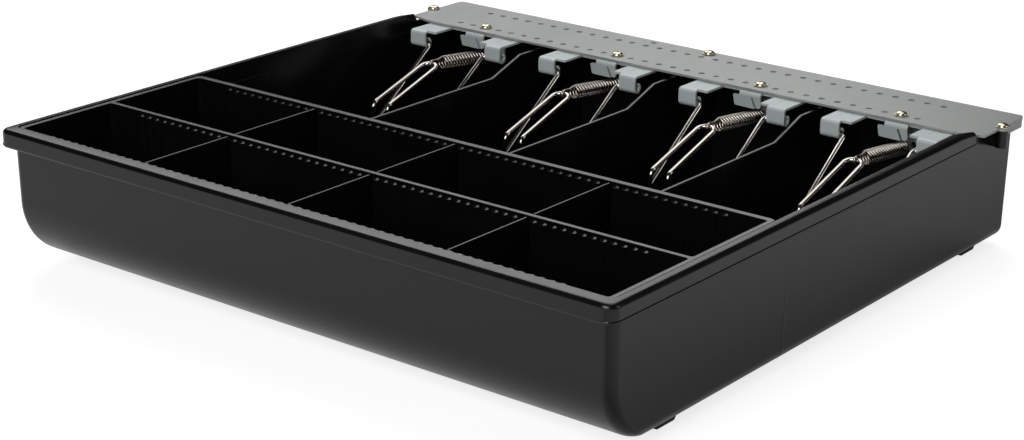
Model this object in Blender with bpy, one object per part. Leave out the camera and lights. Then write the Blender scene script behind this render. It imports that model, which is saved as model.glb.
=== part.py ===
"""Cash register tray: moulded shell, lift-out coin insert with loose dividers, steel cover plate
with four sprung wire note holders. Metres, +Z up, front of the tray towards -Y, origin under the
middle of the tray on the surface it stands on."""

import math

import bmesh
import bpy
import numpy as np
from mathutils import Vector

# Overall sizes
RIM_WIDTH = 0.370
TRAY_DEPTH = 0.361
SHELL_HEIGHT = 0.0707
FOOT_HEIGHT = 0.0040
GAP = 0.0003

# Shell walls
WALL = 0.0018
FLOOR = 0.0022
SIDE_INSET = 0.0036
FRONT_INSET = 0.0056
REAR_INSET = 0.0015
SIDE_SLOPE = math.radians(0.6)
FRONT_SLOPE = math.radians(1.0)
REAR_SLOPE = math.radians(0.2)
FRONT_SCOOP = 0.033
SIDE_FILLET = 0.007
REAR_FILLET = 0.0035
WALL_CORNER = 0.0055
REAR_CORNER = 0.0025
RIM_CORNER = 0.0060

CORNER_STEPS = 3

# Rim of the shell
SKIRT_HEIGHT = 0.0094
SKIRT_WALL = 0.0016
RIM_TOP_THICK = 0.0020
RIM_OUTER_ROUND = 0.0024
RIM_INNER_ROUND = 0.0008
RIM_DIP_LENGTH = 0.0185
RIM_DIP = 0.0018
RIM_END_BEHIND_PLATE_EDGE = 0.0006

# Note compartments
NOTE_BAY_TRIM = 0.0010
NOTE_DIVIDER_WALL = 0.0022
NOTE_DIVIDER_TOP = 0.0163
NOTE_DIVIDER_REAR_TOP = 0.0077
NOTE_RAMP_START = 0.0399
NOTE_RAMP_END = 0.0149
INSERT_TO_DIVIDER = 0.0006

# Cover plate
PLATE_DEPTH = 0.0491
PLATE_THICK = 0.0012
PLATE_DROP = 0.0041
PLATE_PAST_RIM = 0.0017
PLATE_SHOULDER_X = 0.0065
PLATE_SHOULDER_RUN = 0.0062
PLATE_SHOULDER_SETBACK = 0.0034
PLATE_EAR_RADIUS = 0.0036
PLATE_CORNER = 0.0030
REAR_FLANGE = 0.0052
SIDE_FLANGE = 0.0042
HOLES_IN_ROW = 33
HOLES_FROM_LEFT = 0.03112
HOLES_FROM_RIGHT = 0.03808
HOLE_RADIUS = 0.0018
FRONT_ROW = 0.0084
REAR_ROW = 0.0366
SPARE_HOLE_INDEX = 12
HOLE_SIDES = 6

# Screws and their bosses
SHANK_RADIUS = 0.0015
HEAD_RADIUS = 0.0030
WASHER_RADIUS = 0.0037
WASHER_THICK = 0.0005
HEAD_HEIGHT = 0.0019
CLIP_SHANK = 0.0050
CORNER_SHANK = 0.0080
BOSS_RADIUS = 0.0031
BOSS_LENGTH = 0.0090
BOSS_WEB = 0.0030
CORNER_SCREW_X = 0.0020
CORNER_SCREW_Y = 0.0231
REAR_SCREW_INDEX = 16
REAR_SCREW_FROM_EDGE = 0.0048

# Clip brackets
CLIP_HOLES = (2, 12, 22, 31)
CLIP_SHIFTS = (-0.0022, -0.0024, -0.0020, 0.0009)
SLOT_IN_BRACKET = 0.0084
SHEET = 0.0012
ARM_REACH = 0.0178
ARM_OUTER = 0.0329
ARM_INNER = 0.0222
EAR_INNER = 0.0166
EAR_SETBACK = 0.0024
BRACKET_EDGE = 0.0013
BRACKET_REAR = 0.0216
CURL_RADIUS = 0.00235
CURL_SWEEP = math.radians(235)
FACE_DROP = 0.0069
BEND = 0.0014
TAB_SETBACK = 0.0012
TAB_LEFT = -0.0049
TAB_RIGHT = 0.0030
TAB_WING = 0.0039
TAB_WING_DROP = 0.0026
TAB_DROP = 0.0088
TONGUE_LEFT = 0.0040
TONGUE_RIGHT = 0.0080
TONGUE_CURL = 0.0016
LEG_HALF = 0.0050
LEG_BELOW_EYE = 0.0034
EYE_RADIUS = 0.0017

# Wire note holders
WIRE = 0.0026
WIRE_BEND = 0.0030
WIRE_IN_CURL = 0.0072
LEG_TOP_X = 0.0197
LEG_FOOT_X = 0.0190
LOOP_X = 0.0052
BAR_X = 0.0049
WIRE_REACH = 0.0757
POST_LEAN = 0.0085
POST_TOP_DEPTH = 0.0308
BAR_FORWARD = 0.0228
BAR_BELOW_HINGE = 0.0043
BEND_STEPS = 2

# Springs
SPRING_WIRE = 0.0011
SPRING_RADIUS = 0.0035
SPRING_CURLS = 16
CURL_POINTS = 8
SPRING_START = 0.0086
SPRING_END_FROM_EYE = 0.0110
ANCHOR_DROP = 0.0064
LEAST_CURL_GAP = 0.0004

# Coin insert
COIN_SIDE_GAP = 0.0010
COIN_FRONT_GAP = 0.0003
COIN_LENGTH = 0.1243
COIN_TOP_DROP = 0.0007
COIN_WALL = 0.0015
COIN_FRONT_LIP = 0.0014
COIN_SIDE_LIP = 0.0022
COIN_REAR_WALL = 0.0034
COIN_MID_WALL = 0.0025
COIN_MID_FROM_FRONT = 0.0600
COIN_FLOOR = 0.0016
COIN_CORNER = 0.0030
BAND = 0.0011
BAND_DROP = 0.0032
SLOT_PITCH = 0.0054
SLOT_WIDTH = 0.0018
SLOT_DEPTH = 0.0260
SLOTS_EACH_SIDE = 29
REAR_SCOOP = 0.020
SMALL_FILLET = 0.004
COIN_SIDE_EASE = 0.002

# Loose coin dividers
DIVIDER_THICK = 0.0012
DIVIDER_STEP = 17
DIVIDER_DROP = 0.0004
TAB_IN_SLOT = 0.0008

# Feet
FOOT_LENGTH = 0.0200
FOOT_WIDTH = 0.0120
FOOT_BEVEL = 0.0035
FOOT_FROM_SIDE = 0.0080
FRONT_FOOT_Y = 0.0585
REAR_FOOT_Y = 0.0255

# Places worked out from the sizes
FRONT = -TRAY_DEPTH / 2
REAR = TRAY_DEPTH / 2
SHELL_BOTTOM = FOOT_HEIGHT + GAP
TOP = SHELL_BOTTOM + SHELL_HEIGHT
FLOOR_TOP = SHELL_BOTTOM + FLOOR
PLATE_TOP = TOP - PLATE_DROP
PLATE_BOTTOM = PLATE_TOP - PLATE_THICK
PLATE_SEAT_DEPTH = PLATE_DROP + PLATE_THICK + GAP
PLATE_FRONT = REAR - PLATE_DEPTH
PLATE_HALF = RIM_WIDTH / 2 + PLATE_PAST_RIM
RIM_END = PLATE_FRONT + RIM_END_BEHIND_PLATE_EDGE
BRACKET_TOP = PLATE_BOTTOM - GAP
SHEET_MID = BRACKET_TOP - SHEET / 2
HINGE_Y = PLATE_FRONT - ARM_REACH + SHEET / 2 + CURL_RADIUS
HINGE_Z = BRACKET_TOP - FACE_DROP
BAR_Y = HINGE_Y - BAR_FORWARD
BAR_Z = HINGE_Z - BAR_BELOW_HINGE
EYE_Y = PLATE_FRONT + BRACKET_REAR + BEND
EYE_Z = BAR_Z - ANCHOR_DROP
NOTE_BAY_PITCH = (RIM_WIDTH - 2 * NOTE_BAY_TRIM) / 4
HOLE_PITCH = (RIM_WIDTH - HOLES_FROM_LEFT - HOLES_FROM_RIGHT) / (HOLES_IN_ROW - 1)
COIN_FRONT = FRONT + FRONT_INSET + WALL + COIN_FRONT_GAP
COIN_REAR = COIN_FRONT + COIN_LENGTH
COIN_TOP = TOP - COIN_TOP_DROP
CORNER_X = RIM_WIDTH / 2 + CORNER_SCREW_X
CORNER_Y = PLATE_FRONT + CORNER_SCREW_Y
REAR_SCREW_Y = REAR - REAR_SCREW_FROM_EDGE


def hole_x(index):
    """Place across the tray of one hole of the cover plate's rows, counted from the left."""
    return HOLES_FROM_LEFT - RIM_WIDTH / 2 + index * HOLE_PITCH


# Scene helpers

def clear_scene():
    for obj in list(bpy.data.objects):
        bpy.data.objects.remove(obj, do_unlink=True)


def make_material(name, colour, roughness, metallic):
    material = bpy.data.materials.new(name)
    material.use_nodes = True
    shader = material.node_tree.nodes["Principled BSDF"]
    shader.inputs["Base Color"].default_value = (*colour, 1.0)
    shader.inputs["Roughness"].default_value = roughness
    shader.inputs["Metallic"].default_value = metallic
    material.diffuse_color = (*colour, 1.0)
    return material


def add_object(name, data, material, location=(0.0, 0.0, 0.0)):
    if material is not None and not data.materials:
        data.materials.append(material)
    obj = bpy.data.objects.new(name, data)
    obj.location = location
    bpy.context.scene.collection.objects.link(obj)
    return obj


def finish_mesh(name, bm):
    """Write a bmesh to a mesh with merged points, outward faces and crisp edges."""
    bmesh.ops.remove_doubles(bm, verts=bm.verts, dist=1e-6)
    bmesh.ops.dissolve_degenerate(bm, edges=bm.edges, dist=1e-7)
    bmesh.ops.recalc_face_normals(bm, faces=bm.faces)
    mesh = bpy.data.meshes.new(name)
    bm.to_mesh(mesh)
    bm.free()
    mesh.shade_smooth()
    mesh.set_sharp_from_angle(angle=math.radians(30))
    return mesh


def combine(name, base, tools):
    """Apply Boolean steps to the base mesh; tools are (mesh, operation) pairs."""
    obj = add_object(name + "_base", base, None)
    helpers = []
    for index, (mesh, operation) in enumerate(tools):
        helper = add_object(f"{name}_tool_{index}", mesh, None)
        helper.hide_render = True
        helper.display_type = "WIRE"
        helpers.append(helper)
        step = obj.modifiers.new(f"step_{index}", "BOOLEAN")
        step.operation = operation
        step.object = helper
        step.solver = "EXACT"
    graph = bpy.context.evaluated_depsgraph_get()
    result = bpy.data.meshes.new_from_object(obj.evaluated_get(graph))
    for helper in helpers + [obj]:
        bpy.data.objects.remove(helper, do_unlink=True)
    bm = bmesh.new()
    bm.from_mesh(result)
    bmesh.ops.dissolve_limit(bm, angle_limit=math.radians(0.05), verts=bm.verts, edges=bm.edges)
    return finish_mesh(name, bm)


# Shape helpers

def prism(outline, axis, start, end):
    """Closed solid: a flat outline pushed from start to end along axis 0, 1 or 2."""
    bm = bmesh.new()
    others = [i for i in range(3) if i != axis]
    rings = []
    for place in (start, end):
        ring = []
        for first, second in outline:
            point = [0.0, 0.0, 0.0]
            point[axis] = place
            point[others[0]] = first
            point[others[1]] = second
            ring.append(bm.verts.new(point))
        rings.append(ring)
    bm.faces.new(rings[0])
    bm.faces.new(list(reversed(rings[1])))
    count = len(outline)
    for i in range(count):
        j = (i + 1) % count
        bm.faces.new((rings[0][i], rings[1][i], rings[1][j], rings[0][j]))
    return finish_mesh("prism", bm)


def box(low, high):
    outline = [(low[0], low[1]), (high[0], low[1]), (high[0], high[1]), (low[0], high[1])]
    return prism(outline, 2, low[2], high[2])


def circle(centre, radius, sides):
    turn = 2 * math.pi / sides
    return [(centre[0] + radius * math.cos((i + 0.5) * turn),
             centre[1] + radius * math.sin((i + 0.5) * turn)) for i in range(sides)]


def many_prisms(outlines, axis, start, end):
    """Several separate prisms in one mesh, used as one cutter."""
    bm = bmesh.new()
    for outline in outlines:
        part = prism(outline, axis, start, end)
        bm.from_mesh(part)
        bpy.data.meshes.remove(part)
    return finish_mesh("prisms", bm)


def turned(profile, sides):
    """Solid of revolution about Z from (radius, z) points; the ends lie on the axis."""
    bm = bmesh.new()
    loops = []
    for radius, z in profile:
        if radius == 0.0:
            loops.append([bm.verts.new((0.0, 0.0, z))])
            continue
        turn = 2 * math.pi / sides
        loops.append([bm.verts.new((radius * math.cos(i * turn), radius * math.sin(i * turn), z))
                      for i in range(sides)])
    for lower, upper in zip(loops, loops[1:]):
        for i in range(sides):
            j = (i + 1) % sides
            corners = [lower[i % len(lower)], lower[j % len(lower)],
                       upper[j % len(upper)], upper[i % len(upper)]]
            bm.faces.new(list(dict.fromkeys(corners)))
    return finish_mesh("turned", bm)


def arc(centre, radius, start, end, steps):
    return [(centre[0] + radius * math.cos(start + (end - start) * i / steps),
             centre[1] + radius * math.sin(start + (end - start) * i / steps))
            for i in range(steps + 1)]


def strip(path, thick):
    """Outline of a bent strip of sheet that follows a middle line."""
    points = [Vector(p) for p in path]
    left = []
    right = []
    for i, point in enumerate(points):
        before = points[max(i - 1, 0)]
        after = points[min(i + 1, len(points) - 1)]
        step_in = (point - before).normalized() if i > 0 else (after - point).normalized()
        step_out = (after - point).normalized() if i < len(points) - 1 else step_in
        along = (step_in + step_out).normalized()
        normal = Vector((-along.y, along.x))
        reach = thick / 2 / max(along.dot(step_in), 0.5)
        left.append(tuple(point + normal * reach))
        right.append(tuple(point - normal * reach))
    return left + right[::-1]


def rounded_path(corners, radius, steps):
    """3-D path through corner points with each inner corner rounded off."""
    points = [Vector(corners[0])]
    for before, corner, after in zip(corners, corners[1:], corners[2:]):
        corner = Vector(corner)
        back = (Vector(before) - corner)
        ahead = (Vector(after) - corner)
        half = back.angle(ahead) / 2
        trim = min(radius / math.tan(half), back.length * 0.48, ahead.length * 0.48)
        round_radius = trim * math.tan(half)
        middle = corner + (back.normalized() + ahead.normalized()).normalized() \
            * (round_radius / math.sin(half))
        first = corner + back.normalized() * trim - middle
        last = corner + ahead.normalized() * trim - middle
        sweep = first.angle(last)
        for i in range(steps + 1):
            share = i / steps
            spoke = (first * math.sin((1 - share) * sweep) + last * math.sin(share * sweep))
            points.append(middle + spoke / math.sin(sweep))
    points.append(Vector(corners[-1]))
    return points


def tube(name, points, radius, resolution):
    """Curve with a round bevel and filled ends along a list of points."""
    curve = bpy.data.curves.new(name, "CURVE")
    curve.dimensions = "3D"
    spline = curve.splines.new("POLY")
    spline.points.add(len(points) - 1)
    for target, point in zip(spline.points, points):
        target.co = (*point, 1.0)
    curve.bevel_depth = radius
    curve.bevel_resolution = resolution
    curve.use_fill_caps = True
    return curve


class Tub:
    """Moulded tub: a rounded rectangle in plan whose walls slope in and curve into the floor.

    Depths are measured down from a named top. Each wall is a (slope, fillet) pair."""

    def __init__(self, half_x, front, rear, corners, bottom, side_wall, front_wall, rear_wall):
        self.half_x = half_x
        self.front = front
        self.rear = rear
        self.corners = corners
        self.bottom = bottom
        self.side_wall = side_wall
        self.front_wall = front_wall
        self.rear_wall = rear_wall

    def inset(self, wall, depth):
        slope, fillet = wall
        centre = self.bottom - fillet
        if depth <= centre + fillet * math.sin(slope):
            return depth * math.tan(slope)
        reach = centre * math.tan(slope) + fillet / math.cos(slope)
        return reach - math.sqrt(max(fillet ** 2 - (depth - centre) ** 2, 0.0))

    def shrunk(self, wall, floor):
        """The inside face of the same tub."""
        walls = [(slope, fillet - wall) for slope, fillet in
                 (self.side_wall, self.front_wall, self.rear_wall)]
        corners = [corner - wall for corner in self.corners]
        return Tub(self.half_x - wall, self.front + wall, self.rear - wall, corners,
                   self.bottom - floor, *walls)

    def levels(self, start):
        """Depths from start to the floor at which a ring is wanted."""
        depths = {start, self.bottom}
        for slope, fillet in (self.side_wall, self.front_wall, self.rear_wall):
            steps = 6 if fillet > 0.015 else 3
            for i in range(steps):
                angle = slope + (math.pi / 2 - slope) * i / steps
                depths.add(self.bottom - fillet + fillet * math.sin(angle))
        kept = [start]
        for depth in sorted(depths):
            if depth - kept[-1] > 0.0005 and self.bottom - depth > 0.0001:
                kept.append(depth)
        return kept + [self.bottom]

    def section(self, depth):
        """Half width, front and rear place of the wall face at a depth."""
        return (self.half_x - self.inset(self.side_wall, depth),
                self.front + self.inset(self.front_wall, depth),
                self.rear - self.inset(self.rear_wall, depth))


def plan_ring(half_x, front, rear, corners, side_places, steps=CORNER_STEPS):
    """Rounded rectangle, anticlockwise, with extra points on both sides; corners front and rear."""
    quarter = math.pi / 2
    at_front, at_rear = corners
    low = front + at_front
    high = rear - at_rear
    ring = arc((half_x - at_front, low), at_front, -quarter, 0, steps)
    ring += [(half_x, y) for y in side_places]
    ring += arc((half_x - at_rear, high), at_rear, 0, quarter, steps)
    ring += arc((at_rear - half_x, high), at_rear, quarter, 2 * quarter, steps)
    ring += [(-half_x, y) for y in reversed(side_places)]
    ring += arc((at_front - half_x, low), at_front, 2 * quarter, 3 * quarter, steps)
    return ring


def loft(rings):
    """Closed solid through rings that have the same number of points, ends capped."""
    bm = bmesh.new()
    loops = [[bm.verts.new(point) for point in ring] for ring in rings]
    for lower, upper in zip(loops, loops[1:]):
        count = len(lower)
        for i in range(count):
            j = (i + 1) % count
            bm.faces.new((lower[i], lower[j], upper[j], upper[i]))
    bm.faces.new(loops[0])
    bm.faces.new(loops[-1])
    return finish_mesh("loft", bm)


def tub_solid(tub, top, start):
    """Solid block with the tub's outside shape, from start depth down to its floor."""
    rings = []
    for depth in tub.levels(start):
        half_x, front, rear = tub.section(depth)
        ring = plan_ring(half_x, front, rear, tub.corners, ())
        rings.append([(x, y, top - depth) for x, y in ring])
    return loft(rings)


# Shell

def shell_tub():
    return Tub(RIM_WIDTH / 2 - SIDE_INSET, FRONT + FRONT_INSET, REAR - REAR_INSET,
               (WALL_CORNER, REAR_CORNER), SHELL_HEIGHT, (SIDE_SLOPE, SIDE_FILLET),
               (FRONT_SLOPE, FRONT_SCOOP), (REAR_SLOPE, REAR_FILLET))


def shell_loft():
    """Shell wall, rim and inside in one skin; behind the rim's end the wall stops at the plate."""
    outer = shell_tub()
    inner = outer.shrunk(WALL, FLOOR)
    dips = [i / 3 for i in range(4)]
    side_places = [RIM_END - RIM_DIP_LENGTH * (1 - share) for share in dips] + [RIM_END]
    rear_wall_y = outer.rear

    def station_drop(index):
        """How far the rim's top has dipped at a side station, or None behind the rim's end."""
        corner = CORNER_STEPS + 1
        count = len(side_places)
        right = index - corner
        left = corner * 3 + count * 2 - 1 - index
        for place in (right, left):
            if 0 <= place < count - 1:
                return RIM_DIP * dips[place] ** 1.6
        if right >= count - 1 and left >= count - 1:
            return None
        return 0.0

    def ring(tub, wall_depth, inset=None, corner=None, depth=None, dips_here=False):
        """One ring; with an inset it follows the rim's outline, otherwise the tub's wall."""
        half_x, front, rear = tub.section(wall_depth)
        wall = plan_ring(half_x, front, rear, tub.corners, side_places)
        rim = wall
        if inset is not None:
            rim = plan_ring(RIM_WIDTH / 2 - inset, FRONT + inset, rear_wall_y,
                            (corner, REAR_CORNER), side_places)
        points = []
        for index, (at_wall, at_rim) in enumerate(zip(wall, rim)):
            drop = station_drop(index)
            if drop is None:
                x, y = at_wall
                low = max(wall_depth, PLATE_SEAT_DEPTH)
                points.append((x, y, TOP - low))
                continue
            x, y = at_rim
            shown = wall_depth if depth is None else depth
            points.append((x, y, TOP - shown - (drop if dips_here else 0.0)))
        return points

    rings = [ring(outer, depth) for depth in reversed(outer.levels(PLATE_SEAT_DEPTH))
             if depth > SKIRT_HEIGHT + 0.0005]
    rings.append(ring(outer, PLATE_SEAT_DEPTH, depth=SKIRT_HEIGHT))
    edge = RIM_OUTER_ROUND
    small = RIM_INNER_ROUND
    for inset, depth, dipped in ((0.0, SKIRT_HEIGHT, False), (0.0, edge, True),
                                 (edge * 0.3, edge * 0.3, True), (edge, 0.0, True)):
        rings.append(ring(outer, PLATE_SEAT_DEPTH, inset, RIM_CORNER - inset, depth, True and dipped))
    half_x, front, rear = inner.section(0.0)
    corners = [corner + small for corner in inner.corners]
    lip = Tub(half_x + small, front - small, rear + small, corners, inner.bottom,
              *[(0.0, 0.0)] * 3)
    seat_half, seat_front, seat_rear = inner.section(PLATE_SEAT_DEPTH)

    def inner_rim_ring(tub, depth):
        """Top inner edge of the rim, which meets the inside wall at the plate's seat."""
        x_half, y_front, y_rear = tub.section(0.0)
        at_rim = plan_ring(x_half, y_front, y_rear, tub.corners, side_places)
        at_wall = plan_ring(seat_half, seat_front, seat_rear, inner.corners, side_places)
        points = []
        for index, (rim_point, wall_point) in enumerate(zip(at_rim, at_wall)):
            drop = station_drop(index)
            if drop is None:
                points.append((*wall_point, TOP - PLATE_SEAT_DEPTH))
            else:
                points.append((*rim_point, TOP - depth - drop))
        return points

    rings.append(inner_rim_ring(lip, 0.0))
    rings.append(inner_rim_ring(inner, small))
    rings += [ring(inner, depth) for depth in inner.levels(PLATE_SEAT_DEPTH)]
    return loft(rings)


def rim_groove():
    """Hollow under the rim, between the skirt and the wall, closed just before the rim's ends."""
    end = RIM_END - SKIRT_WALL
    wall_x = RIM_WIDTH / 2 - SIDE_INSET + GAP
    wall_y = FRONT + FRONT_INSET - GAP
    skirt_x = RIM_WIDTH / 2 - SKIRT_WALL
    skirt_y = FRONT + SKIRT_WALL
    outer_radius = RIM_CORNER - SKIRT_WALL
    outline = [(skirt_x, end)]
    quarter = math.pi / 2
    centre = (skirt_x - outer_radius, skirt_y + outer_radius)
    outline += arc(centre, outer_radius, 0, -quarter, 4)
    outline += arc((-centre[0], centre[1]), outer_radius, -quarter, -2 * quarter, 4)
    outline += [(-skirt_x, end), (-wall_x, end)]
    centre = (wall_x - WALL_CORNER, wall_y + WALL_CORNER)
    outline += arc((-centre[0], centre[1]), WALL_CORNER, -2 * quarter, -quarter, 4)
    outline += arc(centre, WALL_CORNER, -quarter, 0, 4)
    outline += [(wall_x, end)]
    return prism(outline, 2, TOP - SKIRT_HEIGHT - GAP, TOP - RIM_TOP_THICK - RIM_DIP)


def note_divider(x):
    """Moulded wall between two note compartments, low at the front and ramped up at the rear."""
    front = COIN_REAR + INSERT_TO_DIVIDER
    rear = REAR - REAR_INSET - WALL / 2
    foot = SHELL_BOTTOM + FLOOR / 2
    radius = REAR_FILLET - WALL / 2
    outline = [(front, foot)]
    outline += arc((rear - radius, foot + radius), radius, -math.pi / 2, 0, 4)
    outline += [(rear, TOP - NOTE_DIVIDER_REAR_TOP),
               (PLATE_FRONT - NOTE_RAMP_END, TOP - NOTE_DIVIDER_REAR_TOP),
               (PLATE_FRONT - NOTE_RAMP_START, TOP - NOTE_DIVIDER_TOP),
               (front, TOP - NOTE_DIVIDER_TOP)]
    return prism(outline, 0, x - NOTE_DIVIDER_WALL / 2, x + NOTE_DIVIDER_WALL / 2)


def make_shell(material):
    seat = TOP - PLATE_SEAT_DEPTH
    low = seat - BOSS_LENGTH
    wall_mid = RIM_WIDTH / 2 - SIDE_INSET - WALL / 2
    hole = SHANK_RADIUS + GAP
    tools = [(rim_groove(), "DIFFERENCE")]
    for step in (-1, 0, 1):
        tools.append((note_divider(step * NOTE_BAY_PITCH), "UNION"))
    for side in (-1, 1):
        web = [(side * wall_mid, CORNER_Y - BOSS_WEB / 2), (side * CORNER_X, CORNER_Y - BOSS_WEB / 2),
               (side * CORNER_X, CORNER_Y + BOSS_WEB / 2), (side * wall_mid, CORNER_Y + BOSS_WEB / 2)]
        tools.append((prism(web, 2, low, seat), "UNION"))
        post = circle((side * CORNER_X, CORNER_Y), BOSS_RADIUS, 12)
        tools.append((prism(post, 2, low, seat), "UNION"))
    rear_x = hole_x(REAR_SCREW_INDEX)
    rear_post = circle((rear_x, REAR_SCREW_Y), BOSS_RADIUS, 12)
    tools.append((prism(rear_post, 2, low, seat), "UNION"))
    holes = [circle((side * CORNER_X, CORNER_Y), hole, 8) for side in (-1, 1)]
    holes.append(circle((rear_x, REAR_SCREW_Y), hole, 8))
    depth = CORNER_SHANK + GAP - PLATE_THICK
    tools.append((many_prisms(holes, 2, seat - depth, seat + GAP), "DIFFERENCE"))
    mesh = combine("tray_body", shell_loft(), tools)
    return add_object("tray_body", mesh, material)


# Coin insert and its dividers

def coin_tubs():
    """Outside of the insert and the two troughs, front row and rear row."""
    shell = shell_tub().shrunk(WALL, FLOOR)
    half_x = shell.half_x - COIN_SIDE_GAP
    bottom = TOP - FLOOR_TOP - GAP
    fillet = shell.front_wall[1] - COIN_FRONT_GAP
    side_wall = (SIDE_SLOPE, shell.side_wall[1] + COIN_SIDE_EASE)
    outside = Tub(half_x, COIN_FRONT, COIN_REAR, (COIN_CORNER, COIN_CORNER), bottom,
                  side_wall, (FRONT_SLOPE, fillet), (0.0, SMALL_FILLET))
    floor = bottom - COIN_FLOOR
    middle = COIN_FRONT + COIN_MID_FROM_FRONT
    trough_half = half_x - COIN_SIDE_LIP
    inner_corners = [COIN_CORNER - COIN_WALL] * 2
    front_row = Tub(trough_half, COIN_FRONT + COIN_FRONT_LIP, middle - COIN_MID_WALL / 2,
                    inner_corners, floor, side_wall,
                    (FRONT_SLOPE, fillet - COIN_FRONT_LIP), (0.0, SMALL_FILLET))
    rear_row = Tub(trough_half, middle + COIN_MID_WALL / 2, COIN_REAR - COIN_REAR_WALL,
                   inner_corners, floor, side_wall,
                   (0.0, REAR_SCOOP), (0.0, SMALL_FILLET))
    return outside, front_row, rear_row


def below_band(row):
    """The trough below its lip, where the slotted bands make it narrower front to rear."""
    return Tub(row.half_x, row.front + BAND, row.rear - BAND, row.corners, row.bottom,
               row.side_wall, (row.front_wall[0], row.front_wall[1] - BAND), row.rear_wall)


def slot_cutter(row):
    """All the slots of one row: a bar across the trough at every slot place."""
    outlines = []
    for index in range(-SLOTS_EACH_SIDE, SLOTS_EACH_SIDE + 1):
        x = index * SLOT_PITCH
        outlines.append([(x - SLOT_WIDTH / 2, row.front + GAP), (x + SLOT_WIDTH / 2, row.front + GAP),
                         (x + SLOT_WIDTH / 2, row.rear - GAP), (x - SLOT_WIDTH / 2, row.rear - GAP)])
    start = COIN_TOP - BAND_DROP - SLOT_DEPTH
    return many_prisms(outlines, 2, start, COIN_TOP - BAND_DROP + GAP)


def lip_cutter(row):
    """The upper part of a trough, down to the top of the slotted bands."""
    half_x, front, rear = row.section(BAND_DROP)
    ring = plan_ring(half_x, front, rear, row.corners, ())
    return prism(ring, 2, COIN_TOP - BAND_DROP, COIN_TOP + GAP)


def make_coin_tray(material):
    outside, front_row, rear_row = coin_tubs()
    tools = []
    for row in (front_row, rear_row):
        tools.append((tub_solid(below_band(row), TOP, BAND_DROP - GAP), "DIFFERENCE"))
        tools.append((lip_cutter(row), "DIFFERENCE"))
        tools.append((slot_cutter(row), "DIFFERENCE"))
    mesh = combine("coin_tray", tub_solid(outside, TOP, COIN_TOP_DROP), tools)
    return add_object("coin_tray", mesh, material)


def divider_mesh(row, name):
    """Plate that fills a trough's section, with a tab in the slots at each end."""
    tub = below_band(row)
    depths = [depth for depth in tub.levels(COIN_TOP_DROP + DIVIDER_DROP)]
    front_side = []
    rear_side = []
    for depth in depths:
        _, front, rear = tub.section(depth)
        lift = GAP if depth == tub.bottom else 0.0
        front_side.append((front + GAP, TOP - depth + lift))
        rear_side.append((rear - GAP, TOP - depth + lift))
    tab_top = COIN_TOP - BAND_DROP - GAP
    tab_low = COIN_TOP - BAND_DROP - SLOT_DEPTH + GAP
    _, front_wall, rear_wall = tub.section(TOP - tab_low)
    front_edge = front_side[0][0]
    rear_edge = rear_side[0][0]
    front_tab = [(front_edge, tab_top), (front_edge - TAB_IN_SLOT, tab_top),
                 (front_edge - TAB_IN_SLOT, tab_low), (front_wall + GAP, tab_low)]
    rear_tab = [(rear_wall - GAP, tab_low), (rear_edge + TAB_IN_SLOT, tab_low),
                (rear_edge + TAB_IN_SLOT, tab_top), (rear_edge, tab_top)]
    deep = [point for point in front_side if point[1] < tab_low - GAP]
    deep_rear = [point for point in rear_side if point[1] < tab_low - GAP]
    outline = [front_side[0]] + front_tab + deep + deep_rear[::-1] + rear_tab + [rear_side[0]]
    mesh = prism(outline, 0, -DIVIDER_THICK / 2, DIVIDER_THICK / 2)
    mesh.name = name
    return mesh


def make_coin_dividers(material, parent):
    _, front_row, rear_row = coin_tubs()
    number = 1
    for row, name in ((front_row, "front_divider"), (rear_row, "rear_divider")):
        mesh = divider_mesh(row, name)
        for step in (-1, 0, 1):
            place = (step * DIVIDER_STEP * SLOT_PITCH, 0.0, 0.0)
            obj = add_object(f"coin_divider_{number}", mesh, material, place)
            obj.parent = parent
            number += 1


# Cover plate and screws

def plate_outline():
    """Plan of the cover plate: set-back shoulders beside the rim's ends and ears at the screws."""
    shoulder = PLATE_FRONT + PLATE_SHOULDER_SETBACK
    inner = PLATE_HALF - PLATE_SHOULDER_X - PLATE_SHOULDER_RUN
    outer = PLATE_HALF - PLATE_SHOULDER_X
    quarter = math.pi / 2
    small = PLATE_CORNER / 2
    reach = PLATE_HALF - CORNER_X
    swing = math.acos(max(-1.0, min(1.0, reach / PLATE_EAR_RADIUS)))
    right = [(inner, PLATE_FRONT), (outer, shoulder)]
    right += arc((PLATE_HALF - small, shoulder + small), small, -quarter, 0, 3)
    right += arc((CORNER_X, CORNER_Y), PLATE_EAR_RADIUS, -swing, swing, 6)
    right += arc((PLATE_HALF - PLATE_CORNER, REAR - PLATE_CORNER), PLATE_CORNER, 0, quarter, 3)
    left = [(-x, y) for x, y in reversed(right)]
    return right + left


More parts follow.
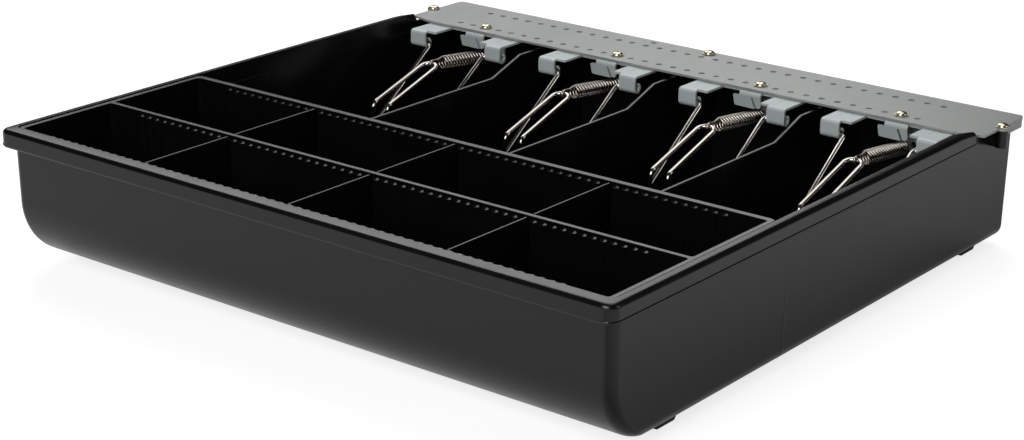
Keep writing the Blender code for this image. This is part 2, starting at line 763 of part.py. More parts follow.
def make_plate(material):
    screw_y = PLATE_FRONT + FRONT_ROW
    outlines = []
    for index in range(HOLES_IN_ROW):
        for row in (screw_y, PLATE_FRONT + REAR_ROW):
            outlines.append(circle((hole_x(index), row), HOLE_RADIUS, HOLE_SIDES))
    for side in (-1, 1):
        outlines.append(circle((side * CORNER_X, CORNER_Y), HOLE_RADIUS, HOLE_SIDES))
    for index in (REAR_SCREW_INDEX, SPARE_HOLE_INDEX):
        outlines.append(circle((hole_x(index), REAR_SCREW_Y), HOLE_RADIUS, HOLE_SIDES))
    rear_half = PLATE_HALF - PLATE_CORNER
    flange = box((-rear_half, REAR - PLATE_THICK, PLATE_BOTTOM - REAR_FLANGE),
                 (rear_half, REAR, PLATE_BOTTOM + PLATE_THICK / 2))
    tools = [(flange, "UNION")]
    flange_start = CORNER_Y + PLATE_EAR_RADIUS + PLATE_CORNER
    for side in (-1, 1):
        low_x = min(side * PLATE_HALF, side * (PLATE_HALF - PLATE_THICK))
        low = (low_x, flange_start, PLATE_BOTTOM - SIDE_FLANGE)
        high = (low_x + PLATE_THICK, REAR - PLATE_CORNER, PLATE_BOTTOM + PLATE_THICK / 2)
        tools.append((box(low, high), "UNION"))
    cutter = many_prisms(outlines, 2, PLATE_BOTTOM - GAP, PLATE_TOP + GAP)
    tools.append((cutter, "DIFFERENCE"))
    mesh = combine("back_plate", prism(plate_outline(), 2, PLATE_BOTTOM, PLATE_TOP), tools)
    return add_object("back_plate", mesh, material)


def screw_mesh(shank, name):
    """Pan head screw with a washer face; its origin is under the washer."""
    profile = [(0.0, -shank), (SHANK_RADIUS * 0.6, -shank), (SHANK_RADIUS, -shank + SHANK_RADIUS),
               (SHANK_RADIUS, 0.0), (WASHER_RADIUS, 0.0), (WASHER_RADIUS, WASHER_THICK),
               (HEAD_RADIUS, WASHER_THICK), (HEAD_RADIUS * 0.93, HEAD_HEIGHT * 0.62),
               (HEAD_RADIUS * 0.6, HEAD_HEIGHT), (0.0, HEAD_HEIGHT * 1.03)]
    mesh = turned(profile, 8)
    mesh.name = name
    return mesh


def make_screws(material):
    top = PLATE_TOP + GAP
    clip_screw = screw_mesh(CLIP_SHANK, "clip_screw")
    for number, index in enumerate(CLIP_HOLES, 1):
        place = (hole_x(index), PLATE_FRONT + FRONT_ROW, top)
        add_object(f"clip_screw_{number}", clip_screw, material, place)
    long_screw = screw_mesh(CORNER_SHANK, "plate_screw")
    add_object("corner_screw_left", long_screw, material, (-CORNER_X, CORNER_Y, top))
    add_object("corner_screw_right", long_screw, material, (CORNER_X, CORNER_Y, top))
    add_object("rear_screw", long_screw, material, (hole_x(REAR_SCREW_INDEX), REAR_SCREW_Y, top))


# Note clips: bracket, wire and spring

def bracket_flat():
    """The bracket's flat top in plan: body under the plate, two arms, tab neck and rear leg."""
    edge = PLATE_FRONT + BRACKET_EDGE
    rear = PLATE_FRONT + BRACKET_REAR
    face = PLATE_FRONT - ARM_REACH + SHEET / 2 + BEND
    ear = face - BEND + EAR_SETBACK
    return [(-ARM_OUTER, face), (-ARM_INNER, face), (-ARM_INNER, ear), (-EAR_INNER, ear),
            (-EAR_INNER, edge), (TAB_LEFT, edge), (TAB_LEFT, PLATE_FRONT - TAB_SETBACK + BEND),
            (TONGUE_RIGHT, PLATE_FRONT - TAB_SETBACK + BEND), (TONGUE_RIGHT, edge), (EAR_INNER, edge),
            (EAR_INNER, ear), (ARM_INNER, ear), (ARM_INNER, face), (ARM_OUTER, face),
            (ARM_OUTER, rear), (-ARM_OUTER, rear)]


def arm_profile():
    """Arm face in side view: bent down at the front, then curled round the wire's end."""
    quarter = math.pi / 2
    face = PLATE_FRONT - ARM_REACH + SHEET / 2
    path = [(face + BEND * 2, SHEET_MID)]
    path += arc((face + BEND, SHEET_MID - BEND), BEND, quarter, 2 * quarter, 2)
    path += arc((HINGE_Y, HINGE_Z), CURL_RADIUS, 2 * quarter, 2 * quarter + CURL_SWEEP, 6)
    return strip(path, SHEET)


def tab_profile(drop, curl):
    """Tab between the arms in side view; a curl turns its lower end forward."""
    quarter = math.pi / 2
    place = PLATE_FRONT - TAB_SETBACK
    path = [(place + BEND * 2, SHEET_MID)]
    path += arc((place + BEND, SHEET_MID - BEND), BEND, quarter, 2 * quarter, 2)
    low = SHEET_MID - drop
    if curl:
        path += arc((place - curl, low + curl), curl, 0, -2 * quarter, 4)
    else:
        path += [(place, low + BEND), (place + BEND * 0.5, low)]
    return strip(path, SHEET)


def bracket_mesh():
    quarter = math.pi / 2
    place = PLATE_FRONT - TAB_SETBACK
    leg_y = PLATE_FRONT + BRACKET_REAR + BEND
    leg_path = [(leg_y - BEND * 2, SHEET_MID)]
    leg_path += arc((leg_y - BEND, SHEET_MID - BEND), BEND, quarter, 0, 2)
    leg_path += [(leg_y, EYE_Z - LEG_BELOW_EYE)]
    wing_low = SHEET_MID - TAB_DROP
    wing = box((TAB_LEFT - TAB_WING, place - SHEET / 2, wing_low + BEND * 0.5),
               (TAB_LEFT + GAP, place + SHEET / 2, BRACKET_TOP - TAB_WING_DROP))
    arm = arm_profile()
    tools = [(prism(arm, 0, ARM_INNER, ARM_OUTER), "UNION"),
             (prism(arm, 0, -ARM_OUTER, -ARM_INNER), "UNION"),
             (prism(tab_profile(TAB_DROP, 0.0), 0, TAB_LEFT, TAB_RIGHT), "UNION"),
             (wing, "UNION"),
             (prism(tab_profile(TAB_DROP + SHEET, TONGUE_CURL), 0, TONGUE_LEFT, TONGUE_RIGHT), "UNION"),
             (prism(strip(leg_path, SHEET), 0, -LEG_HALF, LEG_HALF), "UNION")]
    half = SHANK_RADIUS + GAP
    slot_y = PLATE_FRONT + FRONT_ROW
    slot = box((-SLOT_IN_BRACKET / 2, slot_y - half, BRACKET_TOP - SHEET - GAP),
               (SLOT_IN_BRACKET / 2, slot_y + half, BRACKET_TOP + GAP))
    tools.append((slot, "DIFFERENCE"))
    eye = circle((0.0, EYE_Z), EYE_RADIUS, HOLE_SIDES)
    tools.append((prism(eye, 1, EYE_Y - SHEET, EYE_Y + SHEET), "DIFFERENCE"))
    flat = prism(bracket_flat(), 2, BRACKET_TOP - SHEET, BRACKET_TOP)
    return combine("clip_bracket", flat, tools)


def wire_points():
    """Half of the wire from its end in the curl to the middle of the spring bar, from the hinge."""
    foot_y = -WIRE_REACH
    foot_z = FLOOR_TOP + GAP + WIRE / 2 - HINGE_Z
    post_top = (LOOP_X, foot_y + POST_LEAN, TOP - POST_TOP_DEPTH - HINGE_Z)
    return [(LEG_TOP_X + WIRE_IN_CURL, 0.0, 0.0), (LEG_TOP_X, 0.0, 0.0),
            (LEG_FOOT_X, foot_y, foot_z), (LOOP_X, foot_y, foot_z), post_top,
            (BAR_X, BAR_Y - HINGE_Y, BAR_Z - HINGE_Z)]


def wire_curve():
    half = wire_points()
    corners = half + [(-x, y, z) for x, y, z in reversed(half)]
    points = rounded_path(corners, WIRE_BEND, BEND_STEPS)
    return tube("wire_clip", points, WIRE / 2, 1)


def spring_points():
    """Helix with a hook over the wire's bar at the front and one through the leg's eye."""
    bar = Vector((0.0, BAR_Y, BAR_Z))
    eye = Vector((0.0, EYE_Y, EYE_Z))
    along = (eye - bar).normalized()
    across = Vector((1.0, 0.0, 0.0))
    up = across.cross(along)
    length = (eye - bar).length
    start = SPRING_START
    end = length - SPRING_END_FROM_EYE
    hook = WIRE / 2 + SPRING_WIRE / 2 + GAP
    local = []
    for angle in (-80, -30, 20, 60, 90):
        turn = math.radians(angle)
        local.append((0.0, -hook * math.cos(turn), hook * math.sin(turn)))
    local[-1] = (0.0, 0.0, hook)
    local.append((0.0, start * 0.45, hook * 1.05))
    turns = SPRING_CURLS * CURL_POINTS
    for i in range(turns + 1):
        turn = 2 * math.pi * i / CURL_POINTS
        place = start + (end - start) * i / turns
        local.append((SPRING_RADIUS * math.sin(turn), place, SPRING_RADIUS * math.cos(turn)))
    tail = length - end
    local += [(0.0, end + tail * 0.35, SPRING_RADIUS * 0.55), (0.0, end + tail * 0.65, 0.0),
              (0.0, length + SHEET, 0.0), (0.0, length + SHEET * 1.7, -SHEET),
              (0.0, length + SHEET * 1.7, -SHEET * 2.6)]
    return [bar + across * x + along * s + up * n for x, s, n in local]


def least_gap(points, wire):
    """Smallest clear distance between stretches of one wire that are not neighbours along it."""
    places = np.array([tuple(point) for point in points])
    steps = np.linalg.norm(np.diff(places, axis=0), axis=1)
    run = np.concatenate([[0.0], np.cumsum(steps)])
    apart = np.linalg.norm(places[:, None] - places[None], axis=2)
    far_along = np.abs(run[:, None] - run[None]) > wire * 4
    return float(apart[far_along].min() - wire)


def make_clips(metal, wire_metal, spring_metal):
    bracket = bracket_mesh()
    wire = wire_curve()
    points = spring_points()
    gap = least_gap(points, SPRING_WIRE)
    print(f"spring: {SPRING_CURLS} curls, least gap to itself {gap * 1000:.2f} mm,",
          "clear" if gap > LEAST_CURL_GAP else "too tight")
    spring = tube("clip_spring", points, SPRING_WIRE / 2, 1)
    for number, (index, shift) in enumerate(zip(CLIP_HOLES, CLIP_SHIFTS), 1):
        x = hole_x(index) + shift
        add_object(f"clip_bracket_{number}", bracket, metal, (x, 0.0, 0.0))
        add_object(f"wire_clip_{number}", wire, wire_metal, (x, HINGE_Y, HINGE_Z))
        add_object(f"clip_spring_{number}", spring, spring_metal, (x, 0.0, 0.0))


# Feet

def make_feet(material):
    half = FOOT_LENGTH / 2
    outline = [(-half + FOOT_BEVEL, 0.0), (half - FOOT_BEVEL, 0.0), (half, FOOT_HEIGHT),
               (-half, FOOT_HEIGHT)]
    mesh = prism(outline, 0, -FOOT_WIDTH / 2, FOOT_WIDTH / 2)
    mesh.name = "foot"
    side_x = RIM_WIDTH / 2 - SIDE_INSET - FOOT_FROM_SIDE - FOOT_WIDTH / 2
    for end, y in (("front", FRONT + FRONT_FOOT_Y), ("rear", REAR - REAR_FOOT_Y)):
        for side, name in ((-1, "left"), (1, "right")):
            add_object(f"foot_{end}_{name}", mesh, material, (side * side_x, y, 0.0))


def main():
    clear_scene()
    shell_plastic = make_material("shell_plastic", (0.036, 0.037, 0.038), 0.42, 0.0)
    insert_plastic = make_material("insert_plastic", (0.020, 0.021, 0.022), 0.38, 0.0)
    painted_steel = make_material("painted_steel", (0.36, 0.37, 0.37), 0.45, 0.2)
    zinc_steel = make_material("zinc_steel", (0.55, 0.60, 0.62), 0.35, 0.6)
    nickel = make_material("nickel_wire", (0.72, 0.69, 0.64), 0.16, 1.0)
    spring_steel = make_material("spring_steel", (0.62, 0.58, 0.53), 0.24, 1.0)
    screw_steel = make_material("screw_steel", (0.78, 0.73, 0.56), 0.24, 1.0)
    rubber = make_material("foot_rubber", (0.014, 0.014, 0.014), 0.75, 0.0)
    make_shell(shell_plastic)
    insert = make_coin_tray(insert_plastic)
    make_coin_dividers(insert_plastic, insert)
    make_plate(painted_steel)
    make_screws(screw_steel)
    make_clips(zinc_steel, nickel, spring_steel)
    make_feet(rubber)


main()
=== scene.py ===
"""Looks of the cash register tray: finely shaped pieces, materials, light and camera, around the
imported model. Metres, +Z up, front of the tray towards -Y."""

import math
from dataclasses import dataclass

import bmesh
import bpy
from mathutils import Matrix, Vector


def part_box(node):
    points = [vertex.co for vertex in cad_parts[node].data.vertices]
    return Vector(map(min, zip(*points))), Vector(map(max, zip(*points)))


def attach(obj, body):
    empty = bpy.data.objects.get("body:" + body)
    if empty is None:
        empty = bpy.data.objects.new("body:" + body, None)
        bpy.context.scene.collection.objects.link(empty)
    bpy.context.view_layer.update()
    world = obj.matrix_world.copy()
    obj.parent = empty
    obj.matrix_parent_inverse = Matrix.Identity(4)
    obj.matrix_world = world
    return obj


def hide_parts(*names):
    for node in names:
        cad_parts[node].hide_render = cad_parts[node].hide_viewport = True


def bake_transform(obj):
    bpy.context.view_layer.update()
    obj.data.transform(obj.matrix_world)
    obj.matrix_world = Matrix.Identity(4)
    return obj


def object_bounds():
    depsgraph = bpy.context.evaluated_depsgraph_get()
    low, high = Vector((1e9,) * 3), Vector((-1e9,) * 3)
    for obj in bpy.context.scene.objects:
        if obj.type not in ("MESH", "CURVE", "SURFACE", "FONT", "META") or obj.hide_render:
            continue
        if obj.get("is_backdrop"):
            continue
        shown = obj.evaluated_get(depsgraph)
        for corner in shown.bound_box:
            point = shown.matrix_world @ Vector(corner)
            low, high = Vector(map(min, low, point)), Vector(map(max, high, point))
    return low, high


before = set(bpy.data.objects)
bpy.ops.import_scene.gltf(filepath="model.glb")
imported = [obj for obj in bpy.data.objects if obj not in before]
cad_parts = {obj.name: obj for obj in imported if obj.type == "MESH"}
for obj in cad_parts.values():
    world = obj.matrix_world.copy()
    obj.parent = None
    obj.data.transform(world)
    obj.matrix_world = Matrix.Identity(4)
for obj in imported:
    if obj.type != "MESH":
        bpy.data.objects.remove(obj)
cad_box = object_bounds()

# Places read from the frame
SHELL_LOW, SHELL_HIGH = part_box("tray_body")
PLATE_LOW, PLATE_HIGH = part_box("back_plate")
COIN_LOW, COIN_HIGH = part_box("coin_tray")
TOP = SHELL_HIGH.z
SHELL_BOTTOM = SHELL_LOW.z
FRONT = SHELL_LOW.y
REAR = PLATE_HIGH.y
PLATE_FRONT = PLATE_LOW.y
COIN_FRONT = COIN_LOW.y
COIN_REAR = COIN_HIGH.y
COIN_TOP = COIN_HIGH.z
QUARTER = math.pi / 2
ADD = "UNION"
CUT = "DIFFERENCE"
GAP = 0.0003
SPARE = 0.001

# Shell
RIM_HALF = 0.185
SHELL_HEIGHT = TOP - SHELL_BOTTOM
WALL = 0.0018
FLOOR = 0.0022
SIDE_INSET = 0.0036
FRONT_INSET = 0.0056
REAR_INSET = 0.0015
SIDE_SLOPE = math.radians(0.6)
FRONT_SLOPE = math.radians(1.0)
REAR_SLOPE = math.radians(0.2)
FRONT_SCOOP = 0.033
SIDE_FILLET = 0.007
REAR_FILLET = 0.0035
WALL_CORNER = 0.0055
REAR_CORNER = 0.0025
RIM_CORNER = 0.0060
CORNER_STEPS = 8
FLOOR_TOP = SHELL_BOTTOM + FLOOR

# Rim of the shell
SKIRT_HEIGHT = 0.0094
SKIRT_WALL = 0.0016
SKIRT_EDGE = 0.0014
SKIRT_INSET = 0.0004
SKIRT_FLARE = 0.0018
SKIRT_FRONT_SHARE = 0.25
RIM_TOP_THICK = 0.0020
RIM_OUTER_ROUND = 0.0027
ROUND_SWEEP = math.radians(80)
FRONT_ROUND_SHARE = 0.90
FRONT_CROWN_SHARE = 0.35
RIM_INNER_ROUND = 0.0005
RIM_FALL = 0.0001
RIM_FALL_EASE = 0.7
RIM_CROWN = 0.00032
RIM_DIP_LENGTH = 0.0185
RIM_DIP = 0.0018
DIP_POWER = 1.6
DIP_STEPS = 8
RIM_END = PLATE_FRONT - 0.0008
RIM_TAPER = 0.0026
TAPER_POWER = 1.3
ROUND_TAPER = 0.45
LEDGE_DEPTH = 0.0103
LEDGE = 0.0005
LEDGE_SHAPE = ((-0.3, 0.0), (0.0, 0.3), (0.1, 0.8), (0.4, 1.0))
LEDGE_FADE = 0.01
RING_GAP = 0.0005
SEAM_Y = -0.041
SEAM_HALF = 0.0008
SEAM_RISE = 0.00012
SEAM_PLACE = 1

# Note compartments
NOTE_BAY_PITCH = 0.0920
NOTE_DIVIDER_WALL = 0.0022
NOTE_DIVIDER_TOP = 0.0163
NOTE_DIVIDER_REAR_TOP = 0.0077
NOTE_RAMP_START = 0.0399
NOTE_RAMP_END = 0.0149
INSERT_TO_DIVIDER = 0.0006

# Cover plate
PLATE_HALF = RIM_HALF + 0.0017
PLATE_THICK = 0.0012
PLATE_TOP = TOP - 0.0041
PLATE_EDGE = 0.00045
PLATE_BOTTOM = PLATE_TOP - PLATE_THICK
SEAT_DEPTH = TOP - PLATE_BOTTOM + GAP
SHOULDER_X = 0.0065
SHOULDER_RUN = 0.0062
SHOULDER_SETBACK = 0.0034
PLATE_EAR_RADIUS = 0.0036
PLATE_CORNER = 0.0030
REAR_FLANGE = 0.0052
SIDE_FLANGE = 0.0042
HOLE_PITCH = 0.0094
HOLES_IN_ROW = 33
FIRST_HOLE = 0.03112 - RIM_HALF
HOLE_RADIUS = 0.0018
FRONT_ROW = 0.0084
REAR_ROW = 0.0366
REAR_SCREW_INDEX = 16
SPARE_HOLE_INDEX = 12
HOLE_SIDES = 20

# Screws and bosses
SHANK_RADIUS = 0.0015
HEAD_RADIUS = 0.0030
WASHER_RADIUS = 0.0037
WASHER_THICK = 0.0005
HEAD_HEIGHT = 0.0019
RECESS_WIDTH = 0.00055
RECESS_REACH = 0.0016
RECESS_DEPTH = 0.0010
CLIP_SHANK = 0.0050
CORNER_SHANK = 0.0080
BOSS_RADIUS = 0.0031
BOSS_LENGTH = 0.0090
BOSS_WEB = 0.0030
BOSS_SIDES = 32
BOSS_HOLE_SIDES = 16
CORNER_X = RIM_HALF + 0.0020
CORNER_Y = PLATE_FRONT + 0.0231
REAR_SCREW_Y = REAR - 0.0048

# Clip brackets
CLIP_HOLES = (2, 12, 22, 31)
CLIP_SHIFTS = (-0.0022, -0.0024, -0.0020, 0.0009)
SHEET = 0.0012
BRACKET_TOP = PLATE_BOTTOM - GAP
SHEET_MID = BRACKET_TOP - SHEET / 2
ARM_REACH = 0.0178
ARM_OUTER = 0.0329
ARM_INNER = 0.0222
EAR_INNER = 0.0166
EAR_SETBACK = 0.0024
BRACKET_EDGE = 0.0013
BRACKET_REAR = 0.0216
CURL_RADIUS = 0.00235
CURL_SWEEP = math.radians(235)
FACE_DROP = 0.0069
BEND = 0.0014
TAB_SETBACK = 0.0012
TAB_LEFT = -0.0049
TAB_WING = 0.0039
TAB_WING_DROP = 0.0026
TAB_DROP = 0.0088
TAB_TILT = math.radians(13)
TONGUE_RIGHT = 0.0082
TONGUE_ROUND = 0.0021
TONGUE_RISE = 0.0007
WING_ROUND = 0.0007
WING_LOW_ROUND = 0.0010
WING_LOW_X = 0.0012
WING_LOW_Z = 0.0014
SLIT_TOP = 0.0023
SLIT_LOW = 0.0040
SLIT_WIDTH = 0.0011
SLIT_EASE = 0.0004
SLIT_TIP = 0.0005
SLIT_RISE = 0.0002
TONGUE_EDGE_RISE = 0.0012
LANCE_LEFTS = (-0.0287, EAR_INNER + 0.0061)
LANCE_LENGTH = 0.0061
LANCE_FRONT = PLATE_FRONT - 0.0016
LANCE_REAR = PLATE_FRONT - 0.0004
MARK_FRONT = PLATE_FRONT - 0.0070
MARK_ASIDE = 0.0001
MARK_WIDTH = 0.0004
MARK_RUN_X = 0.0010
MARK_RUN_Y = 0.0030
MARK_DEPTH = 0.0003
SCREW_SLOT_HALF = 0.0042
SHEET_ROUND = 0.00022
LEG_HALF = 0.0050
LEG_BELOW_EYE = 0.0034
EYE_RADIUS = 0.0017
HINGE_Y = PLATE_FRONT - ARM_REACH + SHEET / 2 + CURL_RADIUS
HINGE_Z = BRACKET_TOP - FACE_DROP

# Wire note holders
WIRE = 0.0026
WIRE_BEND = 0.0044
WIRE_IN_CURL = 0.0072
LEG_TOP_X = 0.0197
LEG_FOOT_X = 0.0190
LOOP_X = 0.0052
BAR_X = 0.0049
WIRE_REACH = 0.0757
POST_LEAN = 0.0085
POST_TOP_DEPTH = 0.0308
BAR_Y = HINGE_Y - 0.0228
BAR_Z = HINGE_Z - 0.0043

# Springs
SPRING_WIRE = 0.0009
SPRING_RADIUS = 0.0035
SPRING_CURLS = 16
CURL_POINTS = 20
SPRING_START = 0.0086
SPRING_END_FROM_EYE = 0.0110
EYE_Y = PLATE_FRONT + BRACKET_REAR + BEND
EYE_Z = BAR_Z - 0.0064

# Coin insert
COIN_FRONT_LIP = 0.0014
COIN_SIDE_GAP = 0.0007
COIN_SIDE_LIP = 0.0025
COIN_REAR_WALL = 0.0034
COIN_MID_WALL = 0.0025
COIN_MID_FROM_FRONT = 0.0600
COIN_FLOOR = 0.0016
COIN_WALL = 0.0015
COIN_CORNER = 0.0030
COIN_EDGE = 0.00022
BAND = 0.0012
RIB_TOP_DROP = 0.0024
ABOVE_ALL = -0.01
RIB_SLANT = 0.0008
SLOT_PITCH = 0.0054
RIB_ROOT = 0.0036
RIB_TIP = 0.0014
SLOT_END = 0.0292
SLOTS_EACH_SIDE = 28
RIB_FOOT = 0.0008
TOP_REACH_SHARE = 0.55
REAR_SCOOP = 0.020
SMALL_FILLET = 0.004
COIN_SIDE_EASE = 0.002

# Camera, matched to the photograph
CAMERA_PLACE = Vector((0.65285, -0.85015, 0.39818))
CAMERA_FORWARD = Vector((-0.57753, 0.74563, -0.33241))
CAMERA_RIGHT = Vector((0.78772404, 0.61589323, 0.01289833))
CAMERA_LENS = 78.51

# Floor and room
FLOOR_HALF = 6.0
FLOOR_TONE = 0.42
ROOM_TONE = 0.035


def hole_x(index):
    """Place across the tray of one hole of the cover plate's rows, counted from the left."""
    return FIRST_HOLE + index * HOLE_PITCH


PLATE_SCREWS = [(-CORNER_X, CORNER_Y), (CORNER_X, CORNER_Y), (hole_x(REAR_SCREW_INDEX), REAR_SCREW_Y)]


# Mesh helpers

def shaded(mesh, sharp):
    """The mesh, smooth except at edges sharper than an angle."""
    mesh.shade_smooth()
    mesh.set_sharp_from_angle(angle=math.radians(sharp))
    return mesh


def finish_mesh(name, bm, sharp=30):
    """Write a bmesh to a mesh with merged points, outward faces and crisp edges."""
    bmesh.ops.remove_doubles(bm, verts=bm.verts, dist=1e-6)
    bmesh.ops.dissolve_degenerate(bm, edges=bm.edges, dist=1e-7)
    bmesh.ops.recalc_face_normals(bm, faces=bm.faces)
    mesh = bpy.data.meshes.new(name)
    bm.to_mesh(mesh)
    bm.free()
    return shaded(mesh, sharp)


def add_object(name, mesh, location=(0.0, 0.0, 0.0)):
    obj = bpy.data.objects.new(name, mesh)
    obj.location = location
    bpy.context.scene.collection.objects.link(obj)
    return obj


def evaluated(obj):
    """The object's mesh with its modifiers applied; the object itself goes."""
    graph = bpy.context.evaluated_depsgraph_get()
    mesh = bpy.data.meshes.new_from_object(obj.evaluated_get(graph))
    bpy.data.objects.remove(obj, do_unlink=True)
    return mesh


def combine(name, base, tools, sharp=30):
    """Apply Boolean steps to the base mesh; tools are (mesh, operation) pairs."""
    obj = add_object(name + "_base", base)
    helpers = []
    for index, (mesh, operation) in enumerate(tools):
        helper = add_object(f"{name}_tool_{index}", mesh)
        helpers.append(helper)
        step = obj.modifiers.new(f"step_{index}", "BOOLEAN")
        step.operation = operation
        step.object = helper
        step.solver = "EXACT"
    result = evaluated(obj)
    for helper in helpers:
        bpy.data.objects.remove(helper, do_unlink=True)
    bm = bmesh.new()
    bm.from_mesh(result)
    bmesh.ops.dissolve_limit(bm, angle_limit=math.radians(0.05), verts=bm.verts, edges=bm.edges)
    return finish_mesh(name, bm, sharp)


def bevelled(mesh, width, segments=2, angle=40):
    """The same mesh with its sharp edges rounded."""
    obj = add_object(mesh.name + "_bevel", mesh)
    bevel = obj.modifiers.new("bevel", "BEVEL")
    bevel.width = width
    bevel.segments = segments
    bevel.limit_method = "ANGLE"
    bevel.angle_limit = math.radians(angle)
    bevel.miter_outer = "MITER_ARC"
    result = shaded(evaluated(obj), 40)
    result.name = mesh.name
    return result


def prism(outline, axis, start, end):
    """Closed solid: a flat outline pushed from start to end along axis 0, 1 or 2."""
    bm = bmesh.new()
    rings = [[bm.verts.new((*pair[:axis], place, *pair[axis:])) for pair in outline]
             for place in (start, end)]
    bm.faces.new(rings[0])
    bm.faces.new(rings[1][::-1])
    for i in range(len(outline)):
        j = (i + 1) % len(outline)
        bm.faces.new((rings[0][i], rings[1][i], rings[1][j], rings[0][j]))
    return finish_mesh("prism", bm)


def box(low, high):
    outline = [(low[0], low[1]), (high[0], low[1]), (high[0], high[1]), (low[0], high[1])]
    return prism(outline, 2, low[2], high[2])


def circle(centre, radius, sides):
    turn = 2 * math.pi / sides
    return [(centre[0] + radius * math.cos((i + 0.5) * turn),
             centre[1] + radius * math.sin((i + 0.5) * turn)) for i in range(sides)]


def many_prisms(outlines, start, end):
    """Several separate upright prisms in one mesh, used as one cutter."""
    bm = bmesh.new()
    for outline in outlines:
        part = prism(outline, 2, start, end)
        bm.from_mesh(part)
        bpy.data.meshes.remove(part)
    return finish_mesh("prisms", bm)


def arc(centre, radius, start, end, steps):
    return [(centre[0] + radius * math.cos(start + (end - start) * i / steps),
             centre[1] + radius * math.sin(start + (end - start) * i / steps))
            for i in range(steps + 1)]


def round_steps(radius, count, sweep=QUARTER):
    """Two distances at each step round an edge: one grows from nothing while the other shrinks."""
    angles = [sweep * i / (count - 1) for i in range(count)]
    return [(radius * (1 - math.cos(angle)), radius * (1 - math.sin(angle))) for angle in angles]


def mirrored(points):
    """The points on the other side of the middle, in the opposite order."""
    return [(-x, y) for x, y in reversed(points)]


def at_height(ring, z):
    return [(x, y, z) for x, y in ring]


def skin(bm, loops):
    """Side faces between loops that have the same number of points, and a cap at each end."""
    for lower, upper in zip(loops, loops[1:]):
        for i in range(len(lower)):
            j = (i + 1) % len(lower)
            bm.faces.new((lower[i], lower[j], upper[j], upper[i]))
    bm.faces.new(loops[0])
    bm.faces.new(loops[-1])


def turned(profile, sides):
    """Solid of revolution about Z from (radius, z) points; the ends lie on the axis."""
    bm = bmesh.new()
    turns = [i * (2 * math.pi / sides) for i in range(sides)]
    loops = [[bm.verts.new((radius * math.cos(turn), radius * math.sin(turn), z))
              for turn in (turns if radius else turns[:1])] for radius, z in profile]
    for lower, upper in zip(loops, loops[1:]):
        for i in range(sides):
            j = (i + 1) % sides
            corners = [lower[i % len(lower)], lower[j % len(lower)],
                       upper[j % len(upper)], upper[i % len(upper)]]
            bm.faces.new(list(dict.fromkeys(corners)))
    return finish_mesh("turned", bm)


def strip(path, thick):
    """Outline of a bent strip of sheet that follows a middle line."""
    points = [Vector(p) for p in path]
    steps = [(after - before).normalized() for before, after in zip(points, points[1:])]
    left = []
    right = []
    for point, step_in, step_out in zip(points, steps[:1] + steps, steps + steps[-1:]):
        along = (step_in + step_out).normalized()
        reach = thick / 2 / max(along.dot(step_in), 0.5)
        aside = Vector((-along.y, along.x)) * reach
        left.append(tuple(point + aside))
        right.append(tuple(point - aside))
    return left + right[::-1]


def rounded_path(corners, radius, steps):
    """3-D path through corner points with each inner corner rounded off."""
    corners = [Vector(corner) for corner in corners]
    points = corners[:1]
    for before, corner, after in zip(corners, corners[1:], corners[2:]):
        back = before - corner
        ahead = after - corner
        half = back.angle(ahead) / 2
        trim = min(radius / math.tan(half), back.length * 0.48, ahead.length * 0.48)
        back.normalize()
        ahead.normalize()
        middle = corner + (back + ahead).normalized() * (trim * math.tan(half) / math.sin(half))
        first = corner + back * trim - middle
        last = corner + ahead * trim - middle
        sweep = first.angle(last)
        for i in range(steps + 1):
            share = i / steps
            spoke = first * math.sin((1 - share) * sweep) + last * math.sin(share * sweep)
            points.append(middle + spoke / math.sin(sweep))
    return points + corners[-1:]


def swept_wire(name, points, radius, sides):
    """Round wire along a list of points, with domed ends."""
    bm = bmesh.new()
    neighbours = zip(points[:1] + points, points[1:] + points[-1:])
    tangents = [(after - before).normalized() for before, after in neighbours]
    normal = tangents[0].orthogonal().normalized()

    def ring(centre, tangent, size):
        other = tangent.cross(normal)
        turn = 2 * math.pi / sides
        return [bm.verts.new(centre + (normal * math.cos(i * turn) + other * math.sin(i * turn)) * size)
                for i in range(sides)]

    dome = [(0.97, 0.35), (0.80, 0.60), (0.60, 0.80), (0.28, 0.96)]
    loops = [ring(points[0] - tangents[0] * radius * reach * 0.5, tangents[0], radius * size)
             for reach, size in dome]
    for point, tangent, before in zip(points, tangents, tangents[:1] + tangents):
        normal = before.rotation_difference(tangent) @ normal
        normal = (normal - tangent * normal.dot(tangent)).normalized()
        loops.append(ring(point, tangent, radius))
    loops += [ring(points[-1] + tangents[-1] * radius * reach * 0.5, tangents[-1], radius * size)
              for reach, size in reversed(dome)]
    skin(bm, loops)
    return finish_mesh(name, bm, 50)


